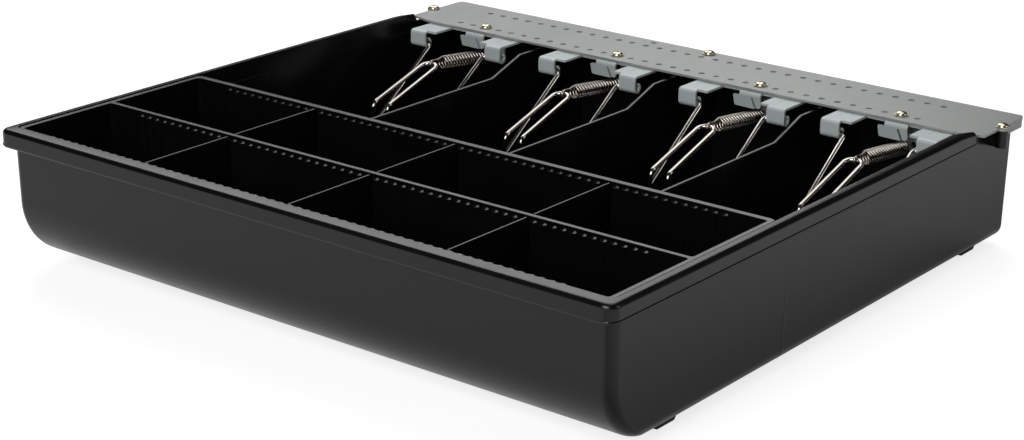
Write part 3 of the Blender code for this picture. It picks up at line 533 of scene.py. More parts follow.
@dataclass
class Tub:
    """Moulded tub: a rounded rectangle in plan whose walls slope in and curve into the floor.

    Depths are measured down from a named top. Each wall is a (slope, fillet) pair."""

    half_x: float
    front: float
    rear: float
    corners: tuple
    bottom: float
    side_wall: tuple
    front_wall: tuple
    rear_wall: tuple

    def inset(self, wall, depth):
        slope, fillet = wall
        centre = self.bottom - fillet
        if depth <= centre + fillet * math.sin(slope):
            return depth * math.tan(slope)
        reach = centre * math.tan(slope) + fillet / math.cos(slope)
        return reach - math.sqrt(max(fillet ** 2 - (depth - centre) ** 2, 0.0))

    def walls(self):
        return self.side_wall, self.front_wall, self.rear_wall

    def shrunk(self, wall, floor):
        """The inside face of the same tub."""
        walls = [(slope, fillet - wall) for slope, fillet in self.walls()]
        corners = [corner - wall for corner in self.corners]
        return Tub(self.half_x - wall, self.front + wall, self.rear - wall, corners,
                   self.bottom - floor, *walls)

    def levels(self, start, extra=()):
        """Depths from start to the floor at which a ring is wanted."""
        depths = {start, self.bottom, *extra}
        for slope, fillet in self.walls():
            steps = 16 if fillet > 0.015 else 8
            for i in range(steps):
                angle = slope + (QUARTER - slope) * i / steps
                depths.add(self.bottom - fillet + fillet * math.sin(angle))
        kept = [start]
        for depth in sorted(depths):
            if depth - kept[-1] > 0.00008 and self.bottom - depth > 0.00001:
                kept.append(depth)
        return kept + [self.bottom]

    def section(self, depth):
        """Half width, front and rear place of the wall face at a depth."""
        return (self.half_x - self.inset(self.side_wall, depth),
                self.front + self.inset(self.front_wall, depth),
                self.rear - self.inset(self.rear_wall, depth))


def plan_ring(half_x, front, rear, corners, side_places=()):
    """Rounded rectangle, anticlockwise, with extra points on both sides; corners front and rear."""
    at_front, at_rear = corners
    right = arc((half_x - at_front, front + at_front), at_front, -QUARTER, 0, CORNER_STEPS)
    right += [(half_x, y) for y in side_places]
    right += arc((half_x - at_rear, rear - at_rear), at_rear, 0, QUARTER, CORNER_STEPS)
    return right + mirrored(right)


def loft(rings, sharp=30):
    """Closed solid through rings of points."""
    bm = bmesh.new()
    skin(bm, [[bm.verts.new(point) for point in ring] for ring in rings])
    return finish_mesh("loft", bm, sharp)


# Materials

def feed(tree, socket, value):
    """Link a socket to another node's output, or give it a value."""
    if isinstance(value, bpy.types.NodeSocket):
        tree.links.new(value, socket)
    else:
        socket.default_value = value


def feed_all(tree, node, inputs):
    for name, value in inputs.items():
        feed(tree, node.inputs[name.replace("_", " ")], value)
    return node


def add_node(tree, kind, **inputs):
    """Shader node with its inputs fed by name."""
    return feed_all(tree, tree.nodes.new("ShaderNode" + kind), inputs)


def ramp(tree, source, start, end, first, last):
    """Value that goes from first to last while the source goes from start to end."""
    node = add_node(tree, "MapRange", Value=source, From_Min=start, From_Max=end, To_Min=first,
                    To_Max=last)
    return node.outputs["Result"]


def calculate(tree, operation, *values):
    node = tree.nodes.new("ShaderNodeMath")
    node.operation = operation
    for socket, value in zip(node.inputs, values):
        feed(tree, socket, value)
    return node.outputs["Value"]


def mixed(tree, factor, first, second):
    """Mix of two shaders."""
    node = add_node(tree, "MixShader", Fac=factor)
    tree.links.new(first, node.inputs[1])
    tree.links.new(second, node.inputs[2])
    return node.outputs["Shader"]


def new_material(name, **inputs):
    """Principled material with its shader's inputs set by name."""
    material = bpy.data.materials.new(name)
    material.use_nodes = True
    tree = material.node_tree
    return material, tree, feed_all(tree, tree.nodes["Principled BSDF"], inputs)


def surface(name, dark, light, roughness, bump, grain=900.0, spread=0.05, **inputs):
    """Material whose tone and gloss vary softly and whose surface has a fine grain."""
    material, tree, shader = new_material(name, **inputs)
    place = add_node(tree, "TexCoord").outputs["Object"]

    def noise(scale, detail):
        return add_node(tree, "TexNoise", Vector=place, Scale=scale, Detail=detail).outputs["Fac"]

    tone = add_node(tree, "ValToRGB", Fac=noise(14.0, 4.0))
    for element, position, colour in zip(tone.color_ramp.elements, (0.3, 0.7), (dark, light)):
        element.position = position
        element.color = (*colour, 1.0)
    gloss = ramp(tree, noise(55.0, 3.0), 0.3, 0.7, roughness - spread, roughness + spread)
    relief = add_node(tree, "Bump", Strength=1.0, Distance=bump, Height=noise(grain, 2.0))
    feed_all(tree, shader, {"Base Color": tone.outputs["Color"], "Roughness": gloss,
                            "Normal": relief.outputs["Normal"]})
    MATERIALS[name] = material


def grey(level, tint=(1.0, 1.0, 1.0)):
    return tuple(level * t for t in tint)


MATERIALS = {}
surface("shell_plastic", grey(0.0024), grey(0.0034, (1.0, 1.02, 1.03)), roughness=0.25, spread=0.03,
        grain=2600.0, bump=12e-6, Specular_IOR_Level=0.37)
surface("insert_plastic", grey(0.0020), grey(0.0030, (1.0, 1.03, 1.05)), roughness=0.23, spread=0.03,
        grain=2200.0, bump=10e-6, Specular_IOR_Level=0.38)
surface("painted_steel", grey(0.335, (0.98, 1.02, 0.99)), grey(0.370, (0.98, 1.01, 0.98)),
        roughness=0.38, grain=1700.0, bump=16e-6, Metallic=0.25)
surface("zinc_steel", grey(0.485, (0.91, 1.02, 1.01)), grey(0.545, (0.92, 1.02, 1.01)),
        roughness=0.36, bump=8e-6, Metallic=0.12)
surface("nickel_wire", (0.45, 0.43, 0.40), (0.53, 0.51, 0.47), roughness=0.09, spread=0.03,
        grain=700.0, bump=4e-6, Metallic=1.0)
surface("spring_steel", (0.50, 0.46, 0.42), (0.62, 0.57, 0.53), roughness=0.09, spread=0.02,
        bump=4e-6, Metallic=1.0)
surface("screw_steel", (0.66, 0.60, 0.45), (0.80, 0.75, 0.58), roughness=0.24,
        bump=6e-6, Metallic=1.0)
surface("foot_rubber", grey(0.0090), grey(0.0130), roughness=0.70, spread=0.06, grain=1500.0,
        bump=30e-6)


def place_piece(obj, slot, body, *nodes):
    """Give a piece its material, its body and the nodes that it stands for."""
    obj.data.materials.clear()
    obj.data.materials.append(MATERIALS[slot])
    shading = obj.modifiers.new("even_shading", "WEIGHTED_NORMAL")
    shading.keep_sharp = True
    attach(obj, body)
    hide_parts(*nodes)
    return obj


# Shell

def shell_tub():
    return Tub(RIM_HALF - SIDE_INSET, FRONT + FRONT_INSET, REAR - REAR_INSET,
               (WALL_CORNER, REAR_CORNER), SHELL_HEIGHT, (SIDE_SLOPE, SIDE_FILLET),
               (FRONT_SLOPE, FRONT_SCOOP), (REAR_SLOPE, REAR_FILLET))


def shell_loft():
    """Shell wall, rim and inside in one skin; behind the rim's end the wall stops at the plate."""
    outer = shell_tub()
    inner = outer.shrunk(WALL, FLOOR)
    dips = [i / DIP_STEPS for i in range(DIP_STEPS + 1)]
    seam = [SEAM_Y - SEAM_HALF, SEAM_Y, SEAM_Y + SEAM_HALF]
    side_places = seam + [RIM_END - RIM_DIP_LENGTH * (1 - share) for share in dips] + [RIM_END]
    corner = CORNER_STEPS + 1
    count = len(side_places)
    last = count - 1

    def station(index):
        """Number of a ring's side place: None at the front, the last one behind the rim's end."""
        right = index - corner
        left = corner * 3 + count * 2 - 1 - index
        for place in (right, left):
            if 0 <= place < count:
                return place
        return last if right >= last and left >= last else None

    def dip_share(place):
        """Share of the rim's dip that is reached at a side place."""
        return 0.0 if place is None else dips[max(place - len(seam), 0)]

    def ring(tub, wall_depth, inset=None, shown=None, rounded=False, inward=0.0, seam_rise=0.0,
             side_inset=0.0):
        """One ring; with an inset it follows the rim's outline, otherwise the tub's wall."""
        half_x, front, rear = tub.section(wall_depth)
        wall = plan_ring(half_x - inward, front, rear - inward, tub.corners, side_places)
        rim = wall
        if inset is not None:
            front_inset = inset * (FRONT_ROUND_SHARE if rounded else 1.0)
            rim = plan_ring(RIM_HALF - inset - side_inset,
                            FRONT + front_inset + side_inset * SKIRT_FRONT_SHARE, tub.rear,
                            (RIM_CORNER - inset, REAR_CORNER), side_places)
        points = []
        for index, (at_wall, (x, y)) in enumerate(zip(wall, rim)):
            place = station(index)
            if place == last:
                points.append((*at_wall, TOP - max(wall_depth, SEAT_DEPTH)))
                continue
            depth = wall_depth if shown is None else shown
            drop = 0.0
            if place == SEAM_PLACE:
                x += math.copysign(seam_rise, x)
            if rounded:
                at_front = max(0.0, 1 - min(index, len(wall) - 1 - index) / CORNER_STEPS)
                depth *= 1 - (1 - FRONT_ROUND_SHARE) * at_front
                depth += RIM_CROWN * (1 - (1 - FRONT_CROWN_SHARE) * at_front)
                share = dip_share(place)
                x += math.copysign(inset * ROUND_TAPER * share ** TAPER_POWER, x)
                drop = RIM_DIP * share ** DIP_POWER
            points.append((x, y, TOP - depth - drop))
        return points

    low_levels = [depth for depth in outer.levels(SEAT_DEPTH) if depth > SKIRT_HEIGHT + RING_GAP]
    rings = [ring(outer, depth, seam_rise=SEAM_RISE) for depth in reversed(low_levels)]
    rings.append(ring(outer, SEAT_DEPTH, shown=SKIRT_HEIGHT))
    rings += [ring(outer, SEAT_DEPTH, inset, SKIRT_HEIGHT - rise)
              for rise, inset in round_steps(SKIRT_EDGE, 4)]
    rings.append(ring(outer, SEAT_DEPTH, 0.0, SKIRT_HEIGHT - SKIRT_FLARE, side_inset=SKIRT_INSET))
    rings += [ring(outer, SEAT_DEPTH, inset, depth, rounded=True, side_inset=SKIRT_INSET)
              for inset, depth in round_steps(RIM_OUTER_ROUND, 8, ROUND_SWEEP)]
    half_x, front, rear = inner.section(0.0)
    at_seat = plan_ring(*inner.section(SEAT_DEPTH), inner.corners, side_places)
    for fall, out in round_steps(RIM_INNER_ROUND, 5):
        corners = [value + out for value in inner.corners]
        edge = plan_ring(half_x + out, front - out, rear + out, corners, side_places)
        points = []
        for index, ((x, y), wall_point) in enumerate(zip(edge, at_seat)):
            place = station(index)
            if place == last:
                points.append((*wall_point, TOP - SEAT_DEPTH))
                continue
            share = dip_share(place)
            narrowed = share ** TAPER_POWER
            x += math.copysign(RIM_TAPER * narrowed, x)
            level = TOP - RIM_FALL * (1 - RIM_FALL_EASE * narrowed)
            points.append((x, y, level - fall - RIM_DIP * share ** DIP_POWER))
        rings.append(points)
    rings.append(ring(inner, SEAT_DEPTH))
    for down, out in LEDGE_SHAPE:
        below = LEDGE_DEPTH + LEDGE * down
        rings.append(ring(inner, below, inward=LEDGE * out))
    rings += [ring(inner, depth, inward=LEDGE * min(1.0, (inner.bottom - depth) / LEDGE_FADE))
              for depth in inner.levels(SEAT_DEPTH) if depth > below + RING_GAP]
    return loft(rings)


def rim_groove():
    """Hollow under the rim, between the skirt and the wall, closed just before the rim's ends."""
    end = RIM_END - SKIRT_WALL
    wall_x = RIM_HALF - SIDE_INSET + GAP
    wall_y = FRONT + FRONT_INSET - GAP
    skirt_x = RIM_HALF - SKIRT_WALL
    skirt_y = FRONT + SKIRT_WALL
    radius = RIM_CORNER - SKIRT_WALL
    outer = [(skirt_x, end)]
    outer += arc((skirt_x - radius, skirt_y + radius), radius, 0, -QUARTER, CORNER_STEPS)
    inner = arc((wall_x - WALL_CORNER, wall_y + WALL_CORNER), WALL_CORNER, -QUARTER, 0, CORNER_STEPS)
    inner += [(wall_x, end)]
    outline = outer + mirrored(outer) + mirrored(inner) + inner
    return prism(outline, 2, TOP - SKIRT_HEIGHT - GAP, TOP - RIM_TOP_THICK - RIM_DIP)


def note_divider(x):
    """Moulded wall between two note compartments, low at the front and ramped up at the rear."""
    front = COIN_REAR + INSERT_TO_DIVIDER
    rear = REAR - REAR_INSET - WALL / 2
    foot = SHELL_BOTTOM + FLOOR / 2
    radius = REAR_FILLET - WALL / 2
    outline = [(front, foot)]
    outline += arc((rear - radius, foot + radius), radius, -QUARTER, 0, 6)
    outline += [(rear, TOP - NOTE_DIVIDER_REAR_TOP),
                (PLATE_FRONT - NOTE_RAMP_END, TOP - NOTE_DIVIDER_REAR_TOP),
                (PLATE_FRONT - NOTE_RAMP_START, TOP - NOTE_DIVIDER_TOP),
                (front, TOP - NOTE_DIVIDER_TOP)]
    plain = prism(outline, 0, x - NOTE_DIVIDER_WALL / 2, x + NOTE_DIVIDER_WALL / 2)
    return bevelled(plain, 0.0006, 3)


def make_shell():
    seat = TOP - SEAT_DEPTH
    low = seat - BOSS_LENGTH
    wall_mid = RIM_HALF - SIDE_INSET - WALL / 2
    tools = [(rim_groove(), CUT)]
    tools += [(note_divider(step * NOTE_BAY_PITCH), ADD) for step in (-1, 0, 1)]
    for x, y in PLATE_SCREWS:
        if y == CORNER_Y:
            wall_x = math.copysign(wall_mid, x)
            web = [(wall_x, y - BOSS_WEB / 2), (x, y - BOSS_WEB / 2), (x, y + BOSS_WEB / 2),
                   (wall_x, y + BOSS_WEB / 2)]
            tools.append((prism(web, 2, low, seat), ADD))
        tools.append((prism(circle((x, y), BOSS_RADIUS, BOSS_SIDES), 2, low, seat), ADD))
    holes = [circle(place, SHANK_RADIUS + GAP, BOSS_HOLE_SIDES) for place in PLATE_SCREWS]
    depth = CORNER_SHANK + GAP - PLATE_THICK
    tools.append((many_prisms(holes, seat - depth, seat + GAP), CUT))
    mesh = combine("shell_moulding", shell_loft(), tools)
    near = 0.0001
    right_wall = RIM_HALF - 0.015
    for edge in mesh.edges:
        ends = [mesh.vertices[i].co for i in edge.vertices]
        on_seam = all(abs(p.y - SEAM_Y) < SEAM_HALF + near and p.x > right_wall for p in ends)
        if on_seam and abs(ends[0].y - ends[1].y) < near:
            edge.use_edge_sharp = True
    place_piece(add_object("shell_moulding", mesh), "shell_plastic", "root", "tray_body")


# Coin insert and its dividers

def coin_tubs():
    """Outside of the insert and the two troughs, front row and rear row."""
    shell = shell_tub().shrunk(WALL, FLOOR)
    bottom = TOP - COIN_LOW.z
    fillet = shell.front_wall[1] - GAP
    side_wall = (SIDE_SLOPE, shell.side_wall[1] + COIN_SIDE_EASE)
    half_x = shell.half_x - COIN_SIDE_GAP
    upright = (0.0, SMALL_FILLET)
    outside = Tub(half_x, COIN_FRONT, COIN_REAR, (COIN_CORNER, COIN_CORNER), bottom, side_wall,
                  (FRONT_SLOPE, fillet), upright)
    middle = COIN_FRONT + COIN_MID_FROM_FRONT
    shared = ([COIN_CORNER - COIN_WALL] * 2, bottom - COIN_FLOOR, side_wall)
    front_row = Tub(half_x - COIN_SIDE_LIP, COIN_FRONT + COIN_FRONT_LIP, middle - COIN_MID_WALL / 2,
                    *shared, (FRONT_SLOPE, fillet - COIN_FRONT_LIP), upright)
    rear_row = Tub(half_x - COIN_SIDE_LIP, middle + COIN_MID_WALL / 2, COIN_REAR - COIN_REAR_WALL,
                   *shared, (0.0, REAR_SCOOP), upright)
    return outside, front_row, rear_row


def insert_outside(outside):
    """Solid block with the insert's outer shape and a rounded top edge."""
    top = TOP - COIN_TOP
    rings = [at_height(plan_ring(*outside.section(depth), outside.corners), TOP - depth)
             for depth in reversed(outside.levels(top + COIN_EDGE))]
    half_x, front, rear = outside.section(top)
    for back, fall in round_steps(COIN_EDGE, 5)[1:]:
        corners = [corner - back for corner in outside.corners]
        ring = plan_ring(half_x - back, front + back, rear - back, corners)
        rings.append(at_height(ring, COIN_TOP - fall))
    return loft(rings)


def rib_reach(depth, top):
    """Share of its full height that a rib has at a depth, with a slanted top and a short foot."""
    return max(0.0, min(1.0, (depth - top) / RIB_SLANT, (SLOT_END - depth) / RIB_FOOT))


def trough(row, front_ribs_top, rear_ribs_top):
    """Cutter for one row of coin compartments: its walls carry the ribs that hold the dividers."""
    top = TOP - COIN_TOP
    extra = [top + 0.0012, RIB_TOP_DROP, RIB_TOP_DROP + RIB_SLANT, SLOT_END - RIB_FOOT, SLOT_END,
             SLOT_END + RIB_FOOT]
    indices = range(-SLOTS_EACH_SIDE, SLOTS_EACH_SIDE + 2)

    def ribs(places, wall, side, reach):
        """A trapezium for each rib of one long wall; side is 1 at the front and -1 at the rear."""
        points = []
        for index in places:
            x = (index - 0.5) * SLOT_PITCH
            for place, out in ((-RIB_ROOT, 0.0), (-RIB_TIP, reach), (RIB_TIP, reach), (RIB_ROOT, 0.0)):
                points.append((x + side * place / 2, wall + side * out))
        return points

    def outline(half_x, front, rear, corners, front_reach, rear_reach):
        """Plan of the trough with rounded corners and its ribs."""
        ring = plan_ring(half_x, front, rear, corners)
        half = len(ring) // 2
        return ring[:half] + ribs(reversed(indices), rear, -1, rear_reach) \
            + ring[half:] + ribs(indices, front, 1, front_reach)

    half_x, front, rear = row.section(top)
    top_reach = BAND * TOP_REACH_SHARE if front_ribs_top < top else 0.0
    rings = []
    for fall, out in round_steps(COIN_EDGE, 5):
        plan = (half_x + out, front - out, rear + out, [corner + out for corner in row.corners])
        if not rings:
            rings.append(at_height(outline(*plan, 0.0, 0.0), COIN_TOP + SPARE / 2))
        rings.append(at_height(outline(*plan, top_reach, 0.0), COIN_TOP - fall))
    for depth in row.levels(top + COIN_EDGE, extra)[1:]:
        half_x, front, rear = row.section(depth)
        back = BAND * max(0.0, min(1.0, (depth - SLOT_END) / RIB_FOOT))
        reaches = [max(BAND * rib_reach(depth, ribs_top) - back, 0.0)
                   for ribs_top in (front_ribs_top, rear_ribs_top)]
        ring = outline(half_x, front + back, rear - back, row.corners, *reaches)
        rings.append(at_height(ring, TOP - depth))
    return loft(rings, 25)


def make_coin_insert():
    outside, front_row, rear_row = coin_tubs()
    top = RIB_TOP_DROP
    tools = [(trough(front_row, ABOVE_ALL, top), CUT), (trough(rear_row, top, top), CUT)]
    mesh = combine("insert_moulding", insert_outside(outside), tools, 25)
    place_piece(add_object("insert_moulding", mesh), "insert_plastic", "coin_tray", "coin_tray")


def make_coin_dividers():
    """Loose dividers with their solids' outlines and softly rounded edges."""
    for number in range(1, 7):
        node = f"coin_divider_{number}"
        name = f"loose_divider_{number}"
        bm = bmesh.new()
        bm.from_mesh(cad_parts[node].data)
        bmesh.ops.remove_doubles(bm, verts=bm.verts, dist=1e-6)
        bmesh.ops.dissolve_limit(bm, angle_limit=math.radians(1.0), verts=bm.verts, edges=bm.edges)
        mesh = bevelled(finish_mesh(name, bm), 0.0003, 2)
        place_piece(add_object(name, mesh), "insert_plastic", node, node)


# Cover plate and screws

def eased(before, corner, after, trim, steps=5):
    """Points that round off one corner of an outline, starting and ending a trim away from it."""
    corner = Vector(corner)
    first = corner + (Vector(before) - corner).normalized() * trim
    last = corner + (Vector(after) - corner).normalized() * trim
    shares = [i / steps for i in range(steps + 1)]
    return [tuple(first * (1 - share) ** 2 + corner * 2 * share * (1 - share) + last * share ** 2)
            for share in shares]


def plate_outline():
    """Plan of the cover plate: set-back shoulders beside the rim's ends and ears at the screws."""
    shoulder = PLATE_FRONT + SHOULDER_SETBACK
    inner = PLATE_HALF - SHOULDER_X - SHOULDER_RUN
    outer = PLATE_HALF - SHOULDER_X
    small = PLATE_CORNER / 2
    swing = math.acos((PLATE_HALF - CORNER_X) / PLATE_EAR_RADIUS)
    right = eased((inner - 0.010, PLATE_FRONT), (inner, PLATE_FRONT), (outer, shoulder), 0.0020)
    right += arc((PLATE_HALF - small, shoulder + small), small, -QUARTER, 0, 8)
    right += arc((CORNER_X, CORNER_Y), PLATE_EAR_RADIUS, -swing, swing, 16)
    right += arc((PLATE_HALF - PLATE_CORNER, REAR - PLATE_CORNER), PLATE_CORNER, 0, QUARTER, 8)
    return right + mirrored(right)


def make_plate():
    centres = [(hole_x(index), PLATE_FRONT + row) for index in range(HOLES_IN_ROW)
               for row in (FRONT_ROW, REAR_ROW)]
    centres += PLATE_SCREWS + [(hole_x(SPARE_HOLE_INDEX), REAR_SCREW_Y)]
    holes = [circle(centre, HOLE_RADIUS, HOLE_SIDES) for centre in centres]
    rear_half = PLATE_HALF - PLATE_CORNER
    flange_start = CORNER_Y + PLATE_EAR_RADIUS + PLATE_CORNER
    flange_top = PLATE_BOTTOM + PLATE_THICK / 2
    flanges = [box((-rear_half, REAR - PLATE_THICK, PLATE_BOTTOM - REAR_FLANGE),
                   (rear_half, REAR, flange_top))]
    flanges += [box((x, flange_start, PLATE_BOTTOM - SIDE_FLANGE),
                    (x + PLATE_THICK, REAR - PLATE_CORNER, flange_top))
                for x in (-PLATE_HALF, PLATE_HALF - PLATE_THICK)]
    tools = [(flange, ADD) for flange in flanges]
    sheet = combine("cover_sheet", prism(plate_outline(), 2, PLATE_BOTTOM, PLATE_TOP), tools)
    bm = bmesh.new()
    bm.from_mesh(sheet)
    edges = []
    near = 1e-5
    for edge in bm.edges:
        first, last = [vertex.co for vertex in edge.verts]
        middle = (first + last) / 2
        along = (first - last).normalized()
        at_rear = abs(middle.y - REAR) < near and abs(along.x) > 0.99
        at_side = abs(abs(middle.x) - PLATE_HALF) < near and abs(along.y) > 0.99 \
            and middle.y > flange_start - SPARE
        if abs(middle.z - PLATE_TOP) < near and (at_rear or at_side):
            edges.append(edge)
    bmesh.ops.bevel(bm, geom=edges, offset=PLATE_THICK * 0.9, offset_type="OFFSET", segments=6,
                    profile=0.5, affect="EDGES", clamp_overlap=True)
    rounded = bevelled(finish_mesh("cover_sheet", bm), PLATE_EDGE, 3, 50)
    cutter = many_prisms(holes, PLATE_BOTTOM - GAP, PLATE_TOP + GAP)
    mesh = combine("cover_sheet", rounded, [(cutter, CUT)], 40)
    place_piece(add_object("cover_sheet", mesh), "painted_steel", "root", "back_plate")


def screw_mesh(shank, turn, name):
    """Pan head screw with a washer face and a cross recess; its origin is under the washer."""
    edge = 0.0001
    steps = 8
    profile = [(0.0, -shank), (SHANK_RADIUS * 0.6, -shank), (SHANK_RADIUS, -shank + SHANK_RADIUS),
               (SHANK_RADIUS, 0.0), (WASHER_RADIUS - edge, 0.0), (WASHER_RADIUS, edge),
               (WASHER_RADIUS, WASHER_THICK - edge), (WASHER_RADIUS - edge, WASHER_THICK),
               (HEAD_RADIUS, WASHER_THICK)]
    for step in range(1, steps + 1):
        angle = QUARTER * step / steps
        profile.append((HEAD_RADIUS * math.cos(angle) ** 0.8 if step < steps else 0.0,
                        WASHER_THICK + (HEAD_HEIGHT - WASHER_THICK) * math.sin(angle)))
    half = RECESS_WIDTH / 2
    tools = [(box((-x, -y, HEAD_HEIGHT - RECESS_DEPTH), (x, y, HEAD_HEIGHT + SPARE)), CUT)
             for x, y in ((RECESS_REACH, half), (half, RECESS_REACH))]
    mesh = combine(name, turned(profile, 32), tools, 35)
    mesh.transform(Matrix.Rotation(math.radians(turn), 4, "Z"))
    return mesh


def make_screws():
    top = PLATE_TOP + GAP
    turns = (18, 55, 80, 35)
    for number, (index, turn) in enumerate(zip(CLIP_HOLES, turns), 1):
        name = f"bracket_screw_{number}"
        obj = add_object(name, screw_mesh(CLIP_SHANK, turn, name),
                         (hole_x(index), PLATE_FRONT + FRONT_ROW, top))
        place_piece(obj, "screw_steel", "root", f"clip_screw_{number}")
    names = ("corner_screw_left", "corner_screw_right", "rear_screw")
    for name, place, turn in zip(names, PLATE_SCREWS, (25, 60, 5)):
        obj = add_object(f"plate_{name}", screw_mesh(CORNER_SHANK, turn, name), (*place, top))
        place_piece(obj, "screw_steel", "root", name)


# Note clips: bracket, wire and spring

def bracket_flat():
    """The bracket's flat top in plan: body under the plate, two arms, tab neck and rear leg."""
    edge = PLATE_FRONT + BRACKET_EDGE
    rear = PLATE_FRONT + BRACKET_REAR
    face = PLATE_FRONT - ARM_REACH + SHEET / 2 + BEND
    ear = face - BEND + EAR_SETBACK
    neck = PLATE_FRONT - TAB_SETBACK + BEND
    left = [(-ARM_OUTER, face), (-ARM_INNER, face), (-ARM_INNER, ear), (-EAR_INNER, ear),
            (-EAR_INNER, edge)]
    tab = [(TAB_LEFT, edge), (TAB_LEFT, neck), (TONGUE_RIGHT, neck), (TONGUE_RIGHT, edge)]
    return left + tab + mirrored(left) + [(ARM_OUTER, rear), (-ARM_OUTER, rear)]


def bent(place, side, end, steps=8):
    """Start of a bent sheet's middle line: flat under the plate, then turned down at a place."""
    path = [(place + side * BEND * 2, SHEET_MID)]
    return path + arc((place + side * BEND, SHEET_MID - BEND), BEND, QUARTER, end, steps)


def arm_profile():
    """Arm face in side view: bent down at the front, then curled round the wire's end."""
    path = bent(PLATE_FRONT - ARM_REACH + SHEET / 2, 1, 2 * QUARTER)
    path += arc((HINGE_Y, HINGE_Z), CURL_RADIUS, 2 * QUARTER, 2 * QUARTER + CURL_SWEEP, 26)
    return strip(path, SHEET)


def tab_mesh():
    """Tab between the arms, bent down and a little back, with a wing and a slit beside its tongue."""
    place = PLATE_FRONT - TAB_SETBACK
    path = bent(place, 1, 2 * QUARTER + TAB_TILT, 10)
    last_y, last_z = path[-1]
    low = SHEET_MID - TAB_DROP
    path.append((last_y + (last_z - low + SPARE) * math.tan(TAB_TILT), low - SPARE))
    left = TAB_LEFT - TAB_WING
    wing_top = BRACKET_TOP - TAB_WING_DROP
    high = BRACKET_TOP + SPARE
    sheet = prism(strip(path, SHEET), 0, left - SPARE, TONGUE_RIGHT + SPARE)
    tongue = (TONGUE_RIGHT - TONGUE_ROUND, low + TONGUE_RISE + TONGUE_ROUND)
    slit_end = wing_top - SLIT_EASE
    outline = [(TAB_LEFT, high), (TAB_LEFT, wing_top)]
    outline += arc((left + WING_ROUND, wing_top - WING_ROUND), WING_ROUND, QUARTER, 2 * QUARTER, 4)
    outline += arc((left + WING_LOW_X, low + WING_LOW_Z), WING_LOW_ROUND, 2 * QUARTER, 3 * QUARTER, 4)
    outline += [(SLIT_LOW, low + SLIT_RISE), (SLIT_TOP, slit_end), (SLIT_TOP + SLIT_TIP, wing_top),
                (SLIT_TOP + SLIT_WIDTH, slit_end), (SLIT_LOW + SLIT_WIDTH, low + TONGUE_EDGE_RISE)]
    outline += arc(tongue, TONGUE_ROUND, 2.4 * QUARTER, 4 * QUARTER, 7)
    outline += [(TONGUE_RIGHT, high)]
    shape = prism(outline, 1, place - 0.004, place + 0.008)
    return combine("tab", sheet, [(shape, "INTERSECT")])


def bracket_mesh():
    leg_path = bent(EYE_Y, -1, 0) + [(EYE_Y, EYE_Z - LEG_BELOW_EYE)]
    arm = arm_profile()
    under = BRACKET_TOP - SHEET - GAP
    over = BRACKET_TOP + GAP
    half = SHANK_RADIUS + GAP
    slot_y = PLATE_FRONT + FRONT_ROW
    slot = box((-SCREW_SLOT_HALF, slot_y - half, under), (SCREW_SLOT_HALF, slot_y + half, over))
    eye = circle((0.0, EYE_Z), EYE_RADIUS, 20)
    tools = [(prism(arm, 0, ARM_INNER, ARM_OUTER), ADD),
             (prism(arm, 0, -ARM_OUTER, -ARM_INNER), ADD), (tab_mesh(), ADD),
             (prism(strip(leg_path, SHEET), 0, -LEG_HALF, LEG_HALF), ADD),
             (slot, CUT), (prism(eye, 1, EYE_Y - SHEET, EYE_Y + SHEET), CUT)]
    for left in LANCE_LEFTS:
        right = left + LANCE_LENGTH
        lance = [(left, LANCE_REAR), (left, LANCE_FRONT), (right, LANCE_FRONT), (right, LANCE_REAR)]
        tools.append((prism(lance, 2, under, over), CUT))
        mark = [(left - MARK_ASIDE + aside * MARK_WIDTH + along * MARK_RUN_X,
                 MARK_FRONT - aside * MARK_WIDTH + along * MARK_RUN_Y)
                for aside, along in ((0, 0), (1, 0), (1, 1), (0, 1))]
        tools.append((prism(mark, 2, BRACKET_TOP - MARK_DEPTH, over), CUT))
    flat = prism(bracket_flat(), 2, BRACKET_TOP - SHEET, BRACKET_TOP)
    return bevelled(combine("clip_sheet", flat, tools), SHEET_ROUND, 2, 45)


def wire_points():
    """Half of the wire from its end in the curl to the middle of the spring bar, from the hinge."""
    foot_y = -WIRE_REACH
    foot_z = FLOOR_TOP + GAP + WIRE / 2 - HINGE_Z
    post_top = (LOOP_X, foot_y + POST_LEAN, TOP - POST_TOP_DEPTH - HINGE_Z)
    return [(LEG_TOP_X + WIRE_IN_CURL, 0.0, 0.0), (LEG_TOP_X, 0.0, 0.0),
            (LEG_FOOT_X, foot_y, foot_z), (LOOP_X, foot_y, foot_z), post_top,
            (BAR_X, BAR_Y - HINGE_Y, BAR_Z - HINGE_Z)]


def spring_points():
    """Helix with a hook over the wire's bar at the front and one through the leg's eye."""
    bar = Vector((0.0, BAR_Y, BAR_Z))
    eye = Vector((0.0, EYE_Y, EYE_Z))
    along = (eye - bar).normalized()
    across = Vector((1.0, 0.0, 0.0))
    up = across.cross(along)
    length = (eye - bar).length
    start = SPRING_START
    end = length - SPRING_END_FROM_EYE
    tail = length - end
    hook = WIRE / 2 + SPRING_WIRE / 2 + GAP
    local = [(0.0, -hook * math.cos(turn), hook * math.sin(turn))
             for turn in map(math.radians, range(-80, 91, 17))]
    local += [(0.0, start * 0.30, hook * 1.02), (0.0, start * 0.60, hook * 1.10)]
    turns = SPRING_CURLS * CURL_POINTS
    for i in range(turns + 1):
        turn = 2 * math.pi * i / CURL_POINTS
        place = start + (end - start) * i / turns
        local.append((SPRING_RADIUS * math.sin(turn), place, SPRING_RADIUS * math.cos(turn)))
    local += [(0.0, end + tail * 0.35, SPRING_RADIUS * 0.55), (0.0, end + tail * 0.65, 0.0),
              (0.0, length + SHEET, 0.0), (0.0, length + SHEET * 1.7, -SHEET),
              (0.0, length + SHEET * 1.7, -SHEET * 2.6)]
    return [bar + across * x + along * s + up * n for x, s, n in local]


